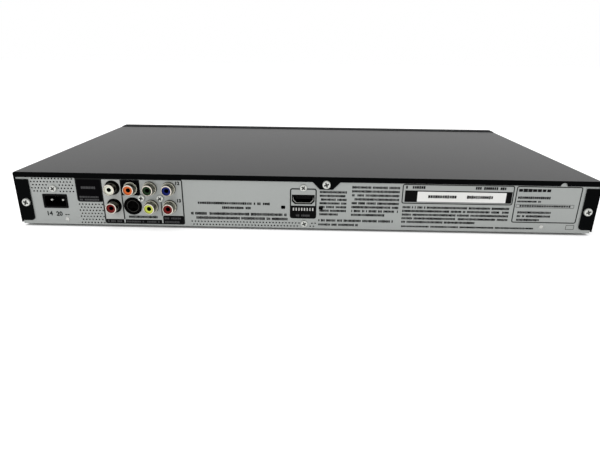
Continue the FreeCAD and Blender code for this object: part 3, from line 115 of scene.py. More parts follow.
print("helpers:", add_node.__name__, wire.__name__, new_tree.__name__)

# %% [markdown]
# The player stands on a white table in a white room. A white surface could be had by
# raising the lamps, but then every colour on the player would wash out. Here the rays that
# the camera, gloss and glass send out find a white room, while the light that
# falls on the player stays at a plain level.

# %% Light the white room
room_light = 0.72


def seen_directly(tree):
    """One where a camera, glossy or clear ray asks for a colour, nought elsewhere."""
    path = add_node(tree, "ShaderNodeLightPath")
    glossy = add_node(tree, "ShaderNodeMath", operation="MAXIMUM")
    direct = add_node(tree, "ShaderNodeMath", operation="MAXIMUM")
    wire(tree, (path, "Is Camera Ray", glossy, 0), (path, "Is Glossy Ray", glossy, 1),
         (glossy, 0, direct, 0), (path, "Is Transmission Ray", direct, 1))
    return direct


def white_room():
    room = bpy.data.worlds.new("white_room")
    room.use_nodes = True
    tree = room.node_tree
    background = tree.nodes["Background"]
    background.inputs["Color"].default_value = (1, 1, 1, 1)
    level = add_node(tree, "ShaderNodeMapRange", {"To Min": room_light, "To Max": 1.0})
    wire(tree, (seen_directly(tree), 0, level, "Value"), (level, "Result", background, "Strength"))
    return room


scene.world = white_room()
print(f"a white room that lights the player at {room_light}")

# %% [markdown]
# Two large soft lamps give the player its shape: one overhead, and one on the camera's
# side that lifts the jack panel. They are hidden from gloss and from the camera, or
# their rectangles would show as white cards in the black cover.

# %% Hang the softboxes
def softbox(name, place, aim, size, watts):
    lamp = bpy.data.lights.new(name, "AREA")
    lamp.shape = "RECTANGLE"
    lamp.size, lamp.size_y = size
    lamp.energy = watts
    box = bpy.data.objects.new(name, lamp)
    box.location = place
    box.rotation_mode = "QUATERNION"
    box.rotation_quaternion = (Vector(aim) - Vector(place)).to_track_quat("-Z", "Y")
    box.visible_glossy = False
    box.visible_camera = False
    scene.collection.objects.link(box)
    print(f"{name}: {watts} W")


softbox("overhead_softbox", place=(0.2, 0.1, 1.5), aim=(0, 0, 0), size=(1.6, 1.2), watts=9)
softbox("camera_side_softbox", place=(0.7, 1.3, 0.9), aim=(0, 0.1, 0), size=(0.9, 0.7), watts=5)

# %% [markdown]
# The table is one large sheet. Part of its white is its own, and part is only there
# for the rays named above, so the soft shadow under the rear edge is kept. Its own
# white fades out below the player's outline, which paints a shadow in the narrow gap
# under it; left on, it would light the underside from the gap.

# %% Lay the table
own_white = 0.4
footprint = {"X": 214.5, "Y": 110.4}
fade_width = 1.2
table_half = 4.0


def lift_outside_painted_shadow(tree):
    """The table's own white, faded out in the narrow gap under the player as a painted shadow."""
    where = add_node(tree, "ShaderNodeTexCoord")
    split = add_node(tree, "ShaderNodeSeparateXYZ")
    either = add_node(tree, "ShaderNodeMath", operation="MAXIMUM")
    wire(tree, (where, "Object", split, 0))
    for socket, (axis, half) in enumerate(footprint.items()):
        size = add_node(tree, "ShaderNodeMath", operation="ABSOLUTE")
        edge = {"From Min": (half - fade_width) * mm, "From Max": half * mm, "To Max": own_white}
        fade = add_node(tree, "ShaderNodeMapRange", edge)
        wire(tree, (split, axis, size, 0), (size, 0, fade, "Value"), (fade, "Result", either, socket))
    return either


def white_table():
    table = bpy.data.materials.new("white_table")
    table.use_nodes = True
    tree = table.node_tree
    shader = tree.nodes["Principled BSDF"]
    shader.inputs["Base Color"].default_value = (0.86, 0.86, 0.86, 1)
    shader.inputs["Roughness"].default_value = 0.6
    shader.inputs["Specular IOR Level"].default_value = 0.2
    shader.inputs["Emission Color"].default_value = (1, 1, 1, 1)
    lift = add_node(tree, "ShaderNodeMath", operation="MULTIPLY")
    wire(tree, (seen_directly(tree), 0, lift, 0), (lift_outside_painted_shadow(tree), 0, lift, 1),
         (lift, 0, shader, "Emission Strength"))
    return table


def flat_sheet(name, half):
    corners = [(-half, -half, 0), (half, -half, 0), (half, half, 0), (-half, half, 0)]
    sheet = bpy.data.meshes.new(name)
    sheet.from_pydata(corners, [], [(0, 1, 2, 3)])
    sheet.materials.append(white_table())
    table = bpy.data.objects.new(name, sheet)
    scene.collection.objects.link(table)
    return table


flat_sheet("table_top", table_half)
print(f"a table {2 * table_half} m wide")

# %% [markdown]
# No real surface is one even colour. A shader group adds what moulded, painted and
# plated surfaces share: a slow drift in tone, a fine grain, and a roughness that
# follows the grain. It is built once and given other numbers in each material.

# %% Build the surface grain group
drift_scale = 18


def grain_group():
    group, asked, made = new_tree("surface_grain", "ShaderNodeTree", {
        "Colour": ("Color", (0.5, 0.5, 0.5, 1)), "Drift": ("Float", 0.05), "Grain Size": ("Float", 0.4),
        "Grain Tone": ("Float", 0.05), "Stretch": ("Vector", (1, 1, 1)), "Roughness": ("Float", 0.4),
        "Roughness Spread": ("Float", 0.06),
    }, {"Colour": "Color", "Roughness": "Float", "Height": "Float"})
    where = add_node(group, "ShaderNodeTexCoord")
    stretch = add_node(group, "ShaderNodeVectorMath", operation="MULTIPLY")
    per_size = add_node(group, "ShaderNodeMath", {0: 1 / mm}, operation="DIVIDE")
    grain = add_node(group, "ShaderNodeTexNoise", {"Detail": 3})
    drift = add_node(group, "ShaderNodeTexNoise", {"Scale": drift_scale, "Detail": 2})
    wire(group, (where, "Object", stretch, 0), (asked, "Stretch", stretch, 1),
         (asked, "Grain Size", per_size, 1), (stretch, 0, grain, "Vector"),
         (per_size, 0, grain, "Scale"), (where, "Object", drift, "Vector"))

    def swing(noise, amount):
        """One plus or minus the amount, following a noise about one half."""
        centred = add_node(group, "ShaderNodeMath", {1: 0.5}, operation="SUBTRACT")
        scaled = add_node(group, "ShaderNodeMath", {2: 1}, operation="MULTIPLY_ADD")
        wire(group, (noise, "Fac", centred, 0), (centred, 0, scaled, 0), (asked, amount, scaled, 1))
        return scaled

    tone = add_node(group, "ShaderNodeMath", operation="MULTIPLY")
    shade = add_node(group, "ShaderNodeVectorMath", operation="SCALE")
    rough = add_node(group, "ShaderNodeMath", operation="MULTIPLY")
    wire(group, (swing(grain, "Grain Tone"), 0, tone, 0), (swing(drift, "Drift"), 0, tone, 1),
         (asked, "Colour", shade, 0), (tone, 0, shade, "Scale"), (asked, "Roughness", rough, 0),
         (swing(grain, "Roughness Spread"), 0, rough, 1), (shade, 0, made, "Colour"),
         (rough, 0, made, "Roughness"), (grain, "Fac", made, "Height"))
    return group


surface_grain = grain_group()
print("surface_grain has", len(surface_grain.nodes), "nodes")

# %% [markdown]
# Each finish is then one call: its colour, how rough it is, how large its grain is in
# millimetres and how deep. The shader stays in the material, since only there
# can its plain numbers, such as metal and coat, be read by other programs.

# %% Write the finish maker
coat_rough = 0.08


def grained(name, colour, rough, grain=0.4, depth=0.0, tone=0.06, drift=0.06, metal=0.0,
            stretch=(1, 1, 1), spread=0.2, coat=0.0, specular=0.5):
    """A finish with the shared grain. The depth of its bumps is in millimetres."""
    material = bpy.data.materials.new(name)
    material.use_nodes = True
    tree = material.node_tree
    shader = tree.nodes["Principled BSDF"]
    settings = {"Colour": (*colour, 1), "Drift": drift, "Grain Size": grain, "Grain Tone": tone,
                "Stretch": stretch, "Roughness": rough, "Roughness Spread": spread}
    group = add_node(tree, "ShaderNodeGroup", settings, node_tree=surface_grain)
    wire(tree, (group, "Colour", shader, "Base Color"), (group, "Roughness", shader, "Roughness"))
    for socket, value in (("Metallic", metal), ("Coat Weight", coat), ("Coat Roughness", coat_rough),
                          ("Specular IOR Level", specular)):
        shader.inputs[socket].default_value = value
    if depth:
        bump = add_node(tree, "ShaderNodeBump", {"Distance": depth * mm})
        wire(tree, (group, "Height", bump, "Height"), (bump, "Normal", shader, "Normal"))
    return material


print("finish maker ready, coats at roughness", coat_rough)

# %% [markdown]
# Some finishes change along the piece: a barrel's tip is painted bright as a highlight, a
# socket's mouth gets painted highlights and painted shade, the cover's bend is given painted
# shade that makes it darker than the flat beside it, and an edge is matte. A painted mask could
# do it, but a place on the player is enough here. Object coordinates are read along one axis and
# stretched to a mask from nought to one, which blends one value into another.

# %% Write the helpers that change a finish along the player
def place_mask(tree, axis, start, end):
    """Goes from nought to one between two places along an axis, in millimetres."""
    where = add_node(tree, "ShaderNodeTexCoord")
    split = add_node(tree, "ShaderNodeSeparateXYZ")
    mask = add_node(tree, "ShaderNodeMapRange", {"From Min": start * mm, "From Max": end * mm})
    wire(tree, (where, "Object", split, 0), (split, axis, mask, "Value"))
    return mask


def blended(material, socket, kind, value, axis, start, end):
    """Blends what feeds an input of a finish into another value between two places."""
    tree = material.node_tree
    shader = tree.nodes["Principled BSDF"]
    plain = shader.inputs[socket].links[0].from_socket
    mix = add_node(tree, "ShaderNodeMix", data_type=kind)
    mix.inputs["B"].default_value = value
    tree.links.new(plain, mix.inputs["A"])
    mask = place_mask(tree, axis, start, end)
    wire(tree, (mask, "Result", mix, "Factor"), (mix, "Result", shader, socket))
    return material


def painted_light_band(material, colour, start, end, axis="Y"):
    """Blends a finish into another colour between two places: a painted highlight or painted shade."""
    return blended(material, "Base Color", "RGBA", (*colour, 1), axis, start, end)


def matte_above(material, start, end, rough):
    """Makes a glossy finish matte above a height."""
    return blended(material, "Roughness", "FLOAT", rough, "Z", start, end)


def painted_shade_below(material, start, end):
    """Paints shade on a dark finish below a height: a metal share there takes off its pale sheen."""
    tree = material.node_tree
    share = place_mask(tree, "Z", start, end)
    share.inputs["To Min"].default_value = 1
    share.inputs["To Max"].default_value = 0
    wire(tree, (share, "Result", tree.nodes["Principled BSDF"], "Metallic"))
    return material


def top_of(node):
    """The height of a node's highest point, in millimetres."""
    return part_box(node)[1][2] / mm


print(f"the cover's top lies at {top_of('top_cover'):.1f} mm")

# %% [markdown]
# The cover is steel under a finely textured black paint, the jack panel is zinc plated,
# and the front is a glossy moulding. Very dark colours are given little specular
# light, or the white room would turn them grey. The cover's top keeps a soft sheen, while
# its bend, bands and ears are given painted shade that keeps them deep black, and the front's
# top edge is matte.

# %% Mix the finishes of the case
cover_paint = grained("cover_paint", (0.0022, 0.0024, 0.0025), 0.32, grain=0.35, depth=0.02,
                      tone=0.3, specular=0.115)
cover_top = top_of("top_cover")
# Painted shade: below the top the cover turns metal, which takes off its sheen and keeps the bend, bands and
# ears deep black.
painted_shade_below(cover_paint, cover_top - 0.3, cover_top - 0.05)
cover_shader = cover_paint.node_tree.nodes["Principled BSDF"]
cover_shader.inputs["Specular Tint"].default_value = (0.95, 1.0, 1.0, 1)
panel_zinc = grained("panel_zinc", (0.345, 0.36, 0.35), 0.42, grain=0.8, depth=0.006, tone=0.10,
                     metal=0.35)
screw_plate = grained("bright_screw_plating", (0.56, 0.57, 0.54), 0.3, grain=0.5, depth=0.02,
                      tone=0.3, metal=0.8)
recess_shade = grained("recess_shade", (0.06, 0.062, 0.058), 0.5, metal=0.5, specular=0.2)
foot_rubber = grained("foot_rubber", (0.015, 0.015, 0.015), 0.8, grain=0.5, depth=0.05, specular=0.15)
front_gloss = grained("front_gloss_black", (0.010, 0.010, 0.011), 0.2, grain=0.5, depth=0.004,
                      tone=0.15, specular=0.28)
front_top = top_of("front_fascia")
matte_above(front_gloss, front_top - 0.6, front_top - 0.2, 0.95)
black_moulding = grained("black_moulding", (0.0015, 0.0015, 0.0015), 0.38, grain=0.6, depth=0.01,
                         specular=0.05)
# Near black with almost no gloss, for the insides of sockets: partly their own black plastic, and painted
# shade in the bores and in the gap round the digital socket.
shadow_black = grained("socket_shadow_black", (0.0008, 0.0008, 0.0008), 0.65, grain=0.6, specular=0.02)
chassis_steel = grained("chassis_steel", (0.42, 0.43, 0.43), 0.38, grain=1.5, tone=0.18, metal=0.9)
print("finishes so far:", len(bpy.data.materials))

# %% [markdown]
# Helpers that make meshes come next. A turned piece is a profile of radii and heights
# carried round an axis, as on a lathe. A cut plate is an outline pushed
# back through a thickness. Both return a bmesh whose faces point outwards.

# %% Write the lathe
def placer(axis, centre):
    """Maps (across, up, along) in millimetres to the player's frame in metres."""
    cx, cy, cz = centre
    ways = {
        "z": lambda a, b, h: Vector((cx + a, cy + b, cz + h)) * mm,
        "y": lambda a, b, h: Vector((cx + a, cy + h, cz + b)) * mm,
        "x": lambda a, b, h: Vector((cx + h, cy + a, cz + b)) * mm,
    }
    return ways[axis]


def outwards(mesh):
    """Merges doubled corners and turns the faces to the outside."""
    bmesh.ops.remove_doubles(mesh, verts=mesh.verts, dist=1e-7)
    bmesh.ops.recalc_face_normals(mesh, faces=mesh.faces)
    return mesh


def bridge(mesh, low, high):
    """Joins two rings of corners with faces, and leaves out a corner that repeats at a pole."""
    for k in range(len(low)):
        m = (k + 1) % len(low)
        corners = list(dict.fromkeys((low[k], low[m], high[m], high[k])))
        if len(corners) > 2:
            mesh.faces.new(corners)


def lathe(profile, steps, axis="y", centre=(0, 0, 0), closed=True):
    """Turns (radius, height) points. A closed profile makes a ring with a bore."""
    place = placer(axis, centre)
    mesh = bmesh.new()
    turns = [2 * math.pi * k / steps for k in range(steps)]
    rings = []
    for radius, height in profile:
        if radius == 0:
            rings.append([mesh.verts.new(place(0, 0, height))] * steps)
            continue
        rings.append([mesh.verts.new(place(radius * math.cos(a), radius * math.sin(a), height))
                      for a in turns])
    pairs = list(zip(rings, rings[1:]))
    if closed:
        pairs.append((rings[-1], rings[0]))
    for low, high in pairs:
        bridge(mesh, low, high)
    return outwards(mesh)


print("lathe ready")

# %% [markdown]
# Plates, blocks and labels are outlines with a thickness, so one cutter makes them all.
# A small bevel on the rims catches the light as a real edge does. It could be a Bevel
# modifier, but as a step of the mesh it is done once and needs no object.

# %% Write the plate cutter
def cut_plate(outline, axis, low, high, bevel=0.0, segments=2):
    """Pushes a flat outline, in millimetres, from one height to another along the axis."""
    place = placer(axis, (0, 0, 0))
    mesh = bmesh.new()
    bottom = [mesh.verts.new(place(a, b, low)) for a, b in outline]
    top = [mesh.verts.new(place(a, b, high)) for a, b in outline]
    mesh.faces.new(bottom)
    mesh.faces.new(top)
    bridge(mesh, bottom, top)
    outwards(mesh)
    if bevel:
        rims = [edge for edge in mesh.edges if edge.calc_face_angle(0) > math.radians(30)]
        bmesh.ops.bevel(mesh, geom=rims, offset=bevel * mm, segments=segments, affect="EDGES",
                        clamp_overlap=True)
    return mesh


def rectangle(a0, a1, b0, b1):
    return [(a0, b0), (a1, b0), (a1, b1), (a0, b1)]


def rounded(a0, a1, b0, b1, r, steps=5):
    """A rectangle's outline with round corners."""
    points = []
    middles = ((a1 - r, b1 - r), (a0 + r, b1 - r), (a0 + r, b0 + r), (a1 - r, b0 + r))
    for quarter, (a, b) in enumerate(middles):
        for k in range(steps + 1):
            turn = math.radians(90 * quarter + 90 * k / steps)
            points.append((a + r * math.cos(turn), b + r * math.sin(turn)))
    return points


def block(low, high, bevel=0.2, segments=2):
    """A box with softened edges between two corners in millimetres."""
    outline = rectangle(low[0], high[0], low[1], high[1])
    return cut_plate(outline, "z", low[2], high[2], bevel, segments)


print("a block has", len(block((0, 0, 0), (1, 1, 1)).faces), "faces")

# %% [markdown]
# A bmesh is a mesh on the workbench, easy to cut and join, while an object needs a plain
# mesh. One short call turns the first into the second, and another merges several
# shapes when they are one piece of the player.

# %% Write the calls that merge shapes
def as_mesh(shape, name):
    """Turns a bmesh into a mesh with a name. A mesh only gets the name."""
    if not isinstance(shape, bmesh.types.BMesh):
        shape.name = name
        return shape
    data = bpy.data.meshes.new(name)
    shape.to_mesh(data)
    shape.free()
    return data


def merged(*shapes):
    """Puts several shapes into one."""
    whole = bmesh.new()
    for shape in shapes:
        part = as_mesh(shape, "part")
        whole.from_mesh(part)
        bpy.data.meshes.remove(part)
    return whole


print("merging calls:", as_mesh.__name__, merged.__name__)

# %% [markdown]
# A finished mesh becomes a piece of the player in one call. It rides on a body, takes
# its place over the plain nodes that it stands for, and is shaded smooth apart
# from its true corners.

# %% Write the call that fits a piece
true_corner = math.radians(32)


def fit_piece(name, shape, material, instead_of=(), body="player"):
    """Makes a piece of the player. A material may be a pair, by the faces' own indices."""
    data = as_mesh(shape, name)
    faces = [face.material_index for face in data.polygons]
    data.materials.clear()
    for one in material if isinstance(material, tuple) else (material,):
        data.materials.append(one)
    for face, index in zip(data.polygons, faces):
        face.material_index = min(index, len(data.materials) - 1)
    data.shade_smooth()
    data.set_sharp_from_angle(angle=true_corner)
    piece = bpy.data.objects.new(name, data)
    scene.collection.objects.link(piece)
    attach(piece, body)
    if instead_of:
        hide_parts(*instead_of)
    return piece


print(f"corners over {math.degrees(true_corner):.0f} degrees stay sharp")

# %% [markdown]
# Screws, jacks and contacts repeat. A small Geometry Nodes tree sets out copies
# of one part on a list of places and can twist each one by chance, since no two
# screws stop at the same angle. The copies are made real and given their material,
# because an exported model has no instances.

# %% Grow the copying tree
def copying_tree():
    tree, asked, made = new_tree("set_out_copies", "GeometryNodeTree", {
        "Geometry": ("Geometry", None), "Part": ("Object", None), "Twist": ("Vector", (0, 0, 0)),
        "Seed": ("Int", 3), "Finish": ("Material", None),
    }, {"Geometry": "Geometry"})
    part = add_node(tree, "GeometryNodeObjectInfo", {"As Instance": True})
    places = add_node(tree, "GeometryNodeMeshToPoints")
    back = add_node(tree, "ShaderNodeVectorMath", {"Scale": -1}, operation="SCALE")
    chance = add_node(tree, "FunctionNodeRandomValue", data_type="FLOAT_VECTOR")
    copies = add_node(tree, "GeometryNodeInstanceOnPoints")
    real = add_node(tree, "GeometryNodeRealizeInstances")
    index = add_node(tree, "GeometryNodeInputMaterialIndex")
    first = add_node(tree, "FunctionNodeCompare", data_type="INT", operation="EQUAL")
    finish = add_node(tree, "GeometryNodeSetMaterial")
    wire(tree, (asked, "Part", part, "Object"), (asked, "Geometry", places, "Mesh"),
         (asked, "Twist", back, 0), (back, 0, chance, "Min"), (asked, "Twist", chance, "Max"),
         (asked, "Seed", chance, "Seed"), (places, "Points", copies, "Points"),
         (part, "Geometry", copies, "Instance"), (chance, "Value", copies, "Rotation"),
         (copies, "Instances", real, "Geometry"), (real, "Geometry", finish, "Geometry"),
         (index, 0, first, 2), (first, 0, finish, "Selection"), (asked, "Finish", finish, "Material"),
         (finish, "Geometry", made, "Geometry"))
    return tree


set_out_copies = copying_tree()
print("set_out_copies has", len(set_out_copies.nodes), "nodes")

# %% [markdown]
# A tree works as a modifier on an object. Its inputs are set by the sockets' own
# identifiers, the object is evaluated, and the result is kept as a plain mesh that no
# longer needs the tree. Two short calls then make copies, and fit them as one piece.

# %% Write the calls that run a tree
def made_plain(source):
    """Evaluates an object with its modifiers and returns the result as a mesh."""
    bpy.context.view_layer.update()
    return bpy.data.meshes.new_from_object(source.evaluated_get(bpy.context.evaluated_depsgraph_get()))


def grown(tree, base, settings):
    """Runs a tree on a mesh and returns the result as a plain mesh."""
    seed = bpy.data.objects.new("seed", base)
    scene.collection.objects.link(seed)
    grow = seed.modifiers.new("grow", "NODES")
    grow.node_group = tree
    for item in tree.interface.items_tree:
        if item.item_type == "SOCKET" and item.in_out == "INPUT" and item.name in settings:
            grow[item.identifier] = settings[item.name]
    result = made_plain(seed)
    seed.modifiers.remove(grow)
    bpy.data.objects.remove(seed)
    return result


def dotted(name, places):
    """A mesh that is only points, at places in millimetres."""
    points = bpy.data.meshes.new(name)
    points.from_pydata([Vector(place) * mm for place in places], [], [])
    return points


def copies_of(shape, places, material, twist=(0, 0, 0), seed=3):
    """Copies of a part that was made about the origin, at places in millimetres."""
    part = bpy.data.objects.new("copied_part", as_mesh(shape, "copied_part"))
    settings = {"Part": part, "Twist": twist, "Seed": seed, "Finish": material}
    result = grown(set_out_copies, dotted("places", places), settings)
    bpy.data.objects.remove(part)
    return result


def fit_copies(name, shape, places, material, instead_of=()):
    """Copies a part to its places and fits the copies as one piece."""
    return fit_piece(name, copies_of(shape, places, material), material, instead_of)


print("tree calls ready")

# %% [markdown]
# The jack panel is one bent sheet of plated steel. It is dotted with staggered
# vents where the power supply and the decoder get warm, and cut out for each
# connector. All its places are measured once here, so that holes, sockets, screws
# and printing can't drift apart.

# %% Measure the jack panel
foot_high = 2.0
panel_y = 110.65
sheet_thick = 0.8
panel_half = 214.0
panel_top = 41.4
jack_x = (101.0, 115.0, 129.0, 143.0)
low_z = foot_high + 15.3
high_z = foot_high + 29.3
video_jacks = [(jack_x[0], high_z), (jack_x[0], low_z), (jack_x[1], high_z), (jack_x[1], low_z),
               (jack_x[2], high_z)]
audio_jacks = [(jack_x[3], high_z), (jack_x[3], low_z)]
round_socket_at = (jack_x[2], low_z)
flat_socket_at = (1.5, foot_high + 22.7)
inlet_at = (187.0, foot_high + 18.2)
small_screws = [(122.0, 23.7), (108.0, 23.7), (1.5, 33.8), (0.5, 5.9), (187.0, 30.1)]
case_screws = [(208.6, 19.2), (-208.6, 19.2), (-15.3, 36.6)]
vent_step = 2.45
vent_rise = 2.42
screw_clear = 3.55
vent_fields = ((172.4, 203.3, 35.4, 5), (152.1, 170.0, 16.1, 7), (-7.8, 86.0, 4.1, 2))


def vent_places():
    """Centres of the vents in staggered rows, clear of the screws."""
    places = []
    for x0, x1, top, rows in vent_fields:
        for row in range(rows):
            x = x0 + (vent_step / 2 if row % 2 else 0)
            z = foot_high + top - row * vent_rise
            while x <= x1:
                if all(math.dist((x, z), screw) > screw_clear for screw in small_screws):
                    places.append((x, z))
                x += vent_step
    return places


vents = vent_places()
print(len(vents), "vents")

# %% [markdown]
# Cutting hundreds of holes with Booleans is slow and leaves a poor mesh. In Geometry
# Nodes a Fill Curve turns an outline and the loops inside it into a sheet with
# real holes. So the vents are circles set out on points, the sockets' holes are loops
# in the same plane, and Extrude gives the sheet its thickness.

# %% Grow the perforated sheet
def sheet_tree():
    tree, asked, made = new_tree("perforated_sheet", "GeometryNodeTree", {
        "Geometry": ("Geometry", None), "Vents": ("Object", None), "Vent Radius": ("Float", 0.0006),
        "Vent Sides": ("Int", 10), "Sheet": ("Float", 0.0008), "Face Finish": ("Material", None),
    }, {"Geometry": "Geometry"})
    where = add_node(tree, "GeometryNodeObjectInfo")
    places = add_node(tree, "GeometryNodeMeshToPoints")
    circle = add_node(tree, "GeometryNodeCurvePrimitiveCircle")
    circles = add_node(tree, "GeometryNodeInstanceOnPoints")
    real = add_node(tree, "GeometryNodeRealizeInstances")
    outline = add_node(tree, "GeometryNodeMeshToCurve")
    together = add_node(tree, "GeometryNodeJoinGeometry")
    filled = add_node(tree, "GeometryNodeFillCurve")
    thick = add_node(tree, "GeometryNodeExtrudeMesh", {"Individual": False})
    flipped = add_node(tree, "GeometryNodeFlipFaces")
    closed = add_node(tree, "GeometryNodeJoinGeometry")
    weld = add_node(tree, "GeometryNodeMergeByDistance", {"Distance": 1e-6})
    finish = add_node(tree, "GeometryNodeSetMaterial")
    wire(tree, (asked, "Vents", where, "Object"), (where, "Geometry", places, "Mesh"),
         (asked, "Vent Sides", circle, "Resolution"), (asked, "Vent Radius", circle, "Radius"),
         (places, "Points", circles, "Points"), (circle, "Curve", circles, "Instance"),
         (circles, "Instances", real, "Geometry"), (asked, "Geometry", outline, "Mesh"),
         (outline, "Curve", together, "Geometry"), (real, "Geometry", together, "Geometry"),
         (together, "Geometry", filled, "Curve"), (filled, "Mesh", thick, "Mesh"),
         (asked, "Sheet", thick, "Offset Scale"), (filled, "Mesh", flipped, "Mesh"),
         (thick, "Mesh", closed, "Geometry"), (flipped, "Mesh", closed, "Geometry"),
         (closed, "Geometry", weld, "Geometry"), (weld, "Geometry", finish, "Geometry"),
         (asked, "Face Finish", finish, "Material"), (finish, "Geometry", made, "Geometry"))
    return tree


perforated_sheet = sheet_tree()
print("perforated_sheet has", len(perforated_sheet.nodes), "nodes")

# %% [markdown]
# Each connector needs its own shape of hole: circles for the jacks and screws, a
# rectangle for the inlet, two small slots, and for the flat digital socket a box that is
# cut at both lower corners. A loop lies flat with X across and Z up.

# %% Draw the holes of the panel
video_hole_r = 5.25
audio_hole_r = 5.6
round_socket_hole_r = 6.55
screw_hole_r = 1.55
flat_socket_gap = 0.95
slot_half_x = 1.6
slot_half_z = 1.35
slot_z = foot_high + 16.4
inlet_half_x = 9.2
inlet_half_z = 5.45


def circle_points(x, z, r, sides=28):
    turns = [2 * math.pi * k / sides for k in range(sides)]
    return [(x + r * math.cos(turn), z + r * math.sin(turn)) for turn in turns]


def rounded_about(x, z, half_x, half_z, r, steps):
    """A rounded rectangle about its middle."""
    return rounded(x - half_x, x + half_x, z - half_z, z + half_z, r, steps)


def flat_socket_outline(grow=0.0):
    """The digital socket's shape: square at the top, cut at both lower corners."""
    x, z = flat_socket_at
    w, t, c = 7.5 + grow, 2.75 + grow, 2.2
    return [(x - w + c, z - t), (x + w - c, z - t), (x + w, z - t + c), (x + w, z + t), (x - w, z + t),
            (x - w, z - t + c)]


def panel_loops():
    """The panel's outline and every hole but the vents."""
    loops = [rounded(-panel_half, panel_half, foot_high, panel_top, 0.4, 2)]
    loops += [circle_points(x, z, video_hole_r) for x, z in video_jacks]
    loops += [circle_points(x, z, audio_hole_r) for x, z in audio_jacks]
    loops.append(circle_points(*round_socket_at, round_socket_hole_r))
    loops += [circle_points(x, z, screw_hole_r, 12) for x, z in small_screws + case_screws]
    loops.append(flat_socket_outline(flat_socket_gap))
    loops += [rounded_about(x, slot_z, slot_half_x, slot_half_z, 0.7, 3) for x in (16.4, -11.7)]
    loops.append(rounded_about(*inlet_at, inlet_half_x, inlet_half_z, 0.6, 2))
    return loops


print(len(panel_loops()), "loops in the panel")

# %% [markdown]
# The loops become edges without faces, the tree fills them round the vents, and the
# sheet is then stood up at the rear. A narrow lip along its foot is the fold that
# carries the bottom of the case.

# %% Punch the jack panel
vent_r = 0.62
lip_deep = 8


def punch_panel():
    """The perforated sheet, stood up with its outer face at the rear."""
    vertices, edges = [], []
    for loop in panel_loops():
        first = len(vertices)
        vertices += [(x * mm, z * mm, 0) for x, z in loop]
        edges += [(first + k, first + (k + 1) % len(loop)) for k in range(len(loop))]
    flat = bpy.data.meshes.new("panel_loops")
    flat.from_pydata(vertices, edges, [])
    dots = bpy.data.objects.new("vent_dots", dotted("vent_dots", [(x, z, 0) for x, z in vents]))
    sheet = grown(perforated_sheet, flat, {"Vents": dots, "Vent Radius": vent_r * mm, "Vent Sides": 10,
                                           "Sheet": sheet_thick * mm, "Face Finish": panel_zinc})
    bpy.data.objects.remove(dots)
    stood_up = Matrix.Rotation(math.radians(90), 4, "X")
    sheet.transform(Matrix.Translation((0, panel_y * mm, 0)) @ stood_up)
    return sheet


lip = block((-panel_half, panel_y - lip_deep, foot_high),
            (panel_half, panel_y - sheet_thick + 0.01, foot_high + sheet_thick), bevel=0)
jack_panel = fit_piece("jack_panel", merged(punch_panel(), lip), panel_zinc,
                       instead_of=("rear_panel",))
print("jack panel:", len(jack_panel.data.polygons), "faces")

# %% [markdown]
# Each phono jack is a nickel barrel that a plug's sleeve grips. The five video jacks
# have a raised collar where they pass the panel, and the two audio jacks stand in a plain
# hole. One barrel is turned on the lathe with a rolled rim, and copied. Its nickel is
# painted dark as shade, the audio barrels darker still, and its rolled rim is painted bright
# as a highlight. A coarse grain that is stretched along the barrel is a painted reflection
# of a room's streaks in the nickel.

# %% Turn the barrels
tip_y = 118.15
barrel_r = 4.15
reach = tip_y - panel_y
rolled_lip = [(barrel_r, reach - 1.1), (barrel_r - 0.08, reach - 0.65), (barrel_r - 0.28, reach - 0.22),
              (barrel_r - 0.55, reach), (barrel_r - 0.78, reach - 0.08), (barrel_r - 0.9, reach - 0.35),
              (barrel_r - 0.92, reach - 0.8), (3.62, reach - 1.1), (3.62, -0.8)]
collar_foot = [(5.0, -0.8), (5.0, 1.5), (4.75, 2.0), (4.45, 2.0), (barrel_r, 2.25)]
plain_foot = [(barrel_r, -0.8)]


def on_panel(places):
    """Places on the panel's outer face, from X and Z."""
    return [(x, panel_y, z) for x, z in places]


def barrel_metal(name, body):
    plain = grained(name, body, 0.2, grain=1.5, tone=2.2, drift=0.3, metal=1.0, stretch=(1, 0.1, 1))
    # Painted highlight: the rolled rim at the tip is blended into a pale nickel.
    return painted_light_band(plain, (0.76, 0.70, 0.62), tip_y - 0.75, tip_y - 0.25)


# Painted shade: both nickels are darker than real nickel, and the audio barrels get the darker one.
jack_nickel = barrel_metal("jack_nickel", (0.20, 0.20, 0.165))
shaded_nickel = barrel_metal("shaded_jack_nickel", (0.11, 0.105, 0.08))
for name, foot, places, nickel in (("video_barrels", collar_foot, video_jacks, jack_nickel),
                                   ("audio_barrels", plain_foot, audio_jacks, shaded_nickel)):
    barrel = lathe(foot + rolled_lip, 40)
    fit_copies(name, barrel, on_panel(places), nickel, ("rca_shells",))
    print(name, len(places))

# %% [markdown]
# A bead runs round each collar, where its rim is rolled over, in a brighter nickel than
# the collar as a painted highlight. Inside every barrel sits a coloured ring, which tells
# the plugs apart, with a dished face and a bore for the plug's pin that is a closed
# near-black cup, as painted shade. All are turned in the same way.

# %% Turn the beads, rings and bores
bead = [(4.65, 1.5), (5.02, 1.5), (5.02, 1.85), (4.93, 2.02), (4.75, 2.05), (4.65, 1.95)]
